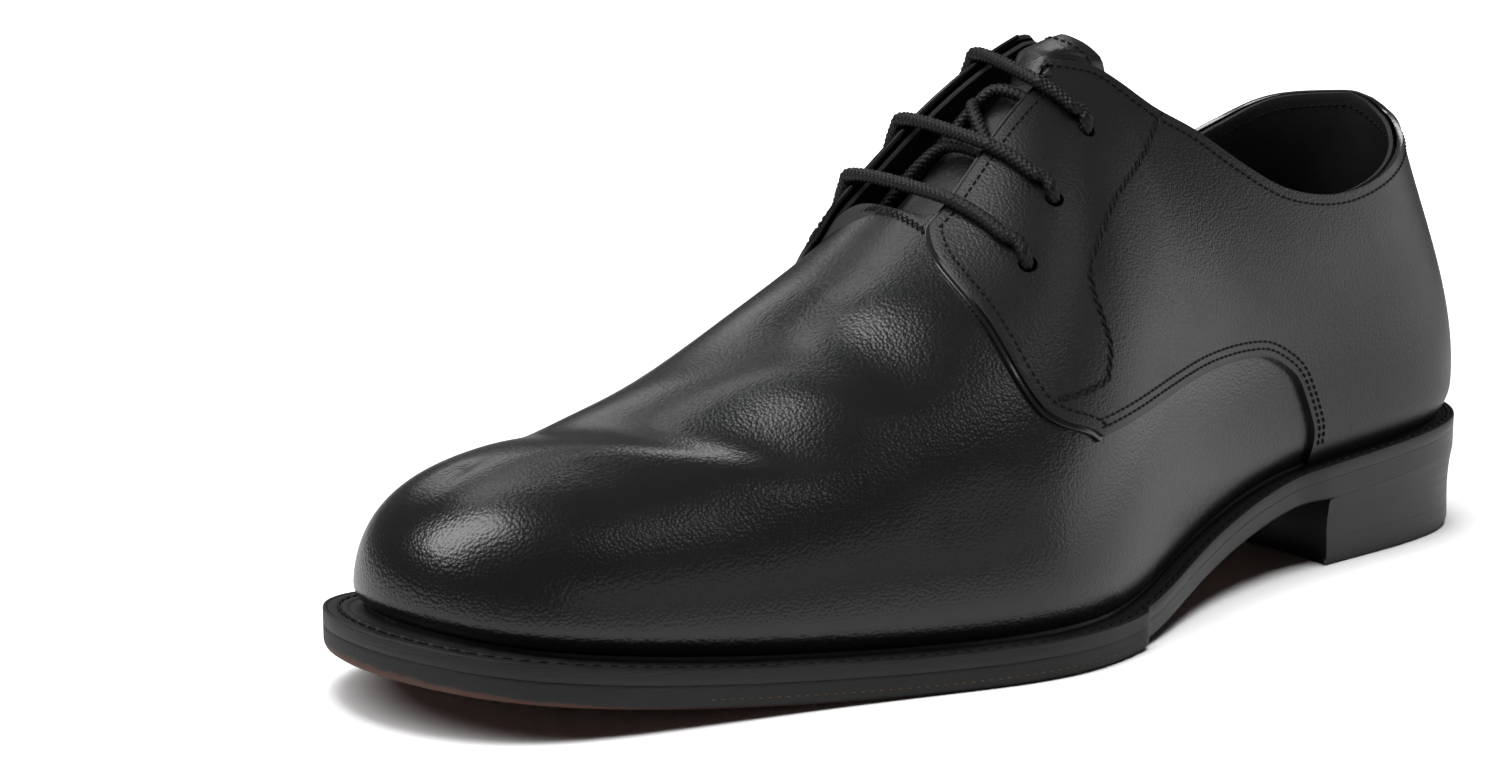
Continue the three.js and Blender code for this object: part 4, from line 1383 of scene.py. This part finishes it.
class DERBY_OT_outsole(Operator):
    """Builds the outsole with its shaped edge, and its stitches"""

    bl_idname = "derby.outsole"
    bl_label = "Outsole"

    def execute(self, context):
        piece = slab("outsole_leather", outsole_levels)
        place = vertices_of(piece) / MM
        along = along_of(place)
        share = (place[:, 2] - sole_bottom(along)) / OUTSOLE_THICKNESS
        worn = np.clip(1 - share / 0.3, 0, 1) * mix(0.4, 1, ease(along, 225, 285))
        worn = np.where(share < 0.02, 1, worn) * ease(along, HEEL_LENGTH + 1, HEEL_LENGTH + 3)
        mark(piece, "worn", worn)
        mark(piece, "burnished", 1 - forefoot(along))
        finish_piece(piece, "outsole", "sole_leather", "outsole")
        rows = []
        for side in (1, -1):
            here, way, along = feather(mirrored(side, np.linspace(0.1, 0.46, 900)))
            path = here + way * (welt_width(along) - 0.08)[:, None]
            path[:, 2] = sole_bottom(along) + 2.0
            sewn = (along > SEWN[0]) & (along < SEWN[1])
            rows.append(stitch_row(path[sewn], way[sewn], 0.9, 1.9, 0.13))
        finish_piece(gathered("sole_stitches", rows), "tan", "sole_leather")
        return {"FINISHED"}


class DERBY_OT_insole(Operator):
    """Builds the insole with its sock lining"""

    bl_idname = "derby.insole"
    bl_label = "Insole"

    def execute(self, context):
        finish_piece(slab("insole_sock", insole_levels, 160, 20), "lining", "lining", "insole")
        return {"FINISHED"}


class DERBY_OT_heel(Operator):
    """Builds the heel stack and its top piece"""

    bl_idname = "derby.heel"
    bl_label = "Heel"

    def execute(self, context):
        stack = heel_block("heel_leather", HEEL_STACK, stack_height)
        finish_piece(stack, "heel", "heel_leather", "heel_stack")
        piece = heel_block("heel_rubber", HEEL_RUBBER, flat_height)
        finish_piece(piece, "rubber", "heel_rubber", "heel_top_piece")
        return {"FINISHED"}


class DERBY_OT_stage(Operator):
    """Sets the floor, the world, the light and the camera"""

    bl_idname = "derby.stage"
    bl_label = "Stage"

    def execute(self, context):
        bpy.ops.mesh.primitive_plane_add(size=16)
        floor = bpy.context.object
        floor.name = "floor"
        material, tree, shader = new_material("pale floor with painted glow")
        where = tree.object_place()
        seen = tree.add("LightPath", {})["Is Camera Ray"]
        pale = tree.blend(tree.noise(where, 3), (0.89, 0.89, 0.89), (0.91, 0.91, 0.91))
        away = tree.add("VectorMath", {0: where}, operation="LENGTH")["Value"]
        # Painted light: seen by the camera the floor glows white, fading in from 0.3 m to 0.75 m from its middle,
        # while nearer the shoe only the lamps light it; to other rays it is a grey of 0.5, a painted shade in the
        # shoe's reflections and in bounced light.
        tree.put(shader, {
            "Base Color": tree.blend(seen, (0.5, 0.5, 0.5), pale),
            "Roughness": 0.75,
            "Specular IOR Level": 0.2,
            "Emission Strength": tree.math("MULTIPLY", tree.mapped(away, 0.3, 0.75), seen),
            "Emission Color": (1, 1, 1, 1),
        })
        floor.data.materials.append(material)
        world = bpy.data.worlds.new("studio")
        context.scene.world = world
        world.use_nodes = True
        sky = world.node_tree.nodes["Background"].inputs
        sky["Color"].default_value = (1, 1, 1, 1)
        sky["Strength"].default_value = 0.12
        world.cycles_visibility.diffuse = False
        for name, place, aim, long_way, size, power, shiny, spread in LIGHTS:
            bpy.ops.object.light_add(type="AREA", location=place)
            light = bpy.context.object
            light.name = name
            light.data.shape = "RECTANGLE"
            light.data.size, light.data.size_y = size
            light.data.energy = power
            light.visible_glossy = shiny
            light.visible_diffuse = spread
            back = unit(np.array(place) - np.array(aim))
            up = unit(np.cross(back, long_way))
            light.rotation_euler = Matrix(np.stack([np.cross(up, back), up, back], 1).tolist()).to_euler()
        bpy.ops.object.camera_add(location=CAMERA)
        camera = bpy.context.object
        camera.data.lens = LENS
        camera.data.sensor_width = SENSOR
        camera.data.clip_start = 0.01
        camera.rotation_euler = (Vector(TARGET) - Vector(CAMERA)).to_track_quat("-Z", "Y").to_euler()
        context.scene.camera = camera
        context.scene.view_settings.view_transform = "Standard"
        return {"FINISHED"}


STEPS = (
    DERBY_OT_stage, DERBY_OT_vamp, DERBY_OT_quarters, DERBY_OT_edges, DERBY_OT_lining, DERBY_OT_tongue,
    DERBY_OT_lace, DERBY_OT_seams, DERBY_OT_welt, DERBY_OT_outsole, DERBY_OT_insole, DERBY_OT_heel,
)


class DERBY_PT_panel(Panel):
    """Lists the steps that build the shoe"""

    bl_idname = "DERBY_PT_panel"
    bl_label = "Derby shoe"
    bl_space_type = "VIEW_3D"
    bl_region_type = "UI"
    bl_category = "Derby shoe"

    def draw(self, context):
        for settings in (context.scene.derby_look, context.scene.derby_seams):
            for name in settings.__annotations__:
                self.layout.prop(settings, name)
        for step in STEPS:
            self.layout.operator(step.bl_idname)


CLASSES = (DerbyLook, DerbySeams, *STEPS, DERBY_PT_panel)


def register():
    for cls in CLASSES:
        bpy.utils.register_class(cls)
    bpy.types.Scene.derby_look = PointerProperty(type=DerbyLook)
    bpy.types.Scene.derby_seams = PointerProperty(type=DerbySeams)


def unregister():
    del bpy.types.Scene.derby_seams
    del bpy.types.Scene.derby_look
    for cls in reversed(CLASSES):
        bpy.utils.unregister_class(cls)


def main():
    register()
    for step in STEPS:
        group, name = step.bl_idname.split(".")
        getattr(getattr(bpy.ops, group), name)()
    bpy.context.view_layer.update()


if __name__ == "__main__":
    main()
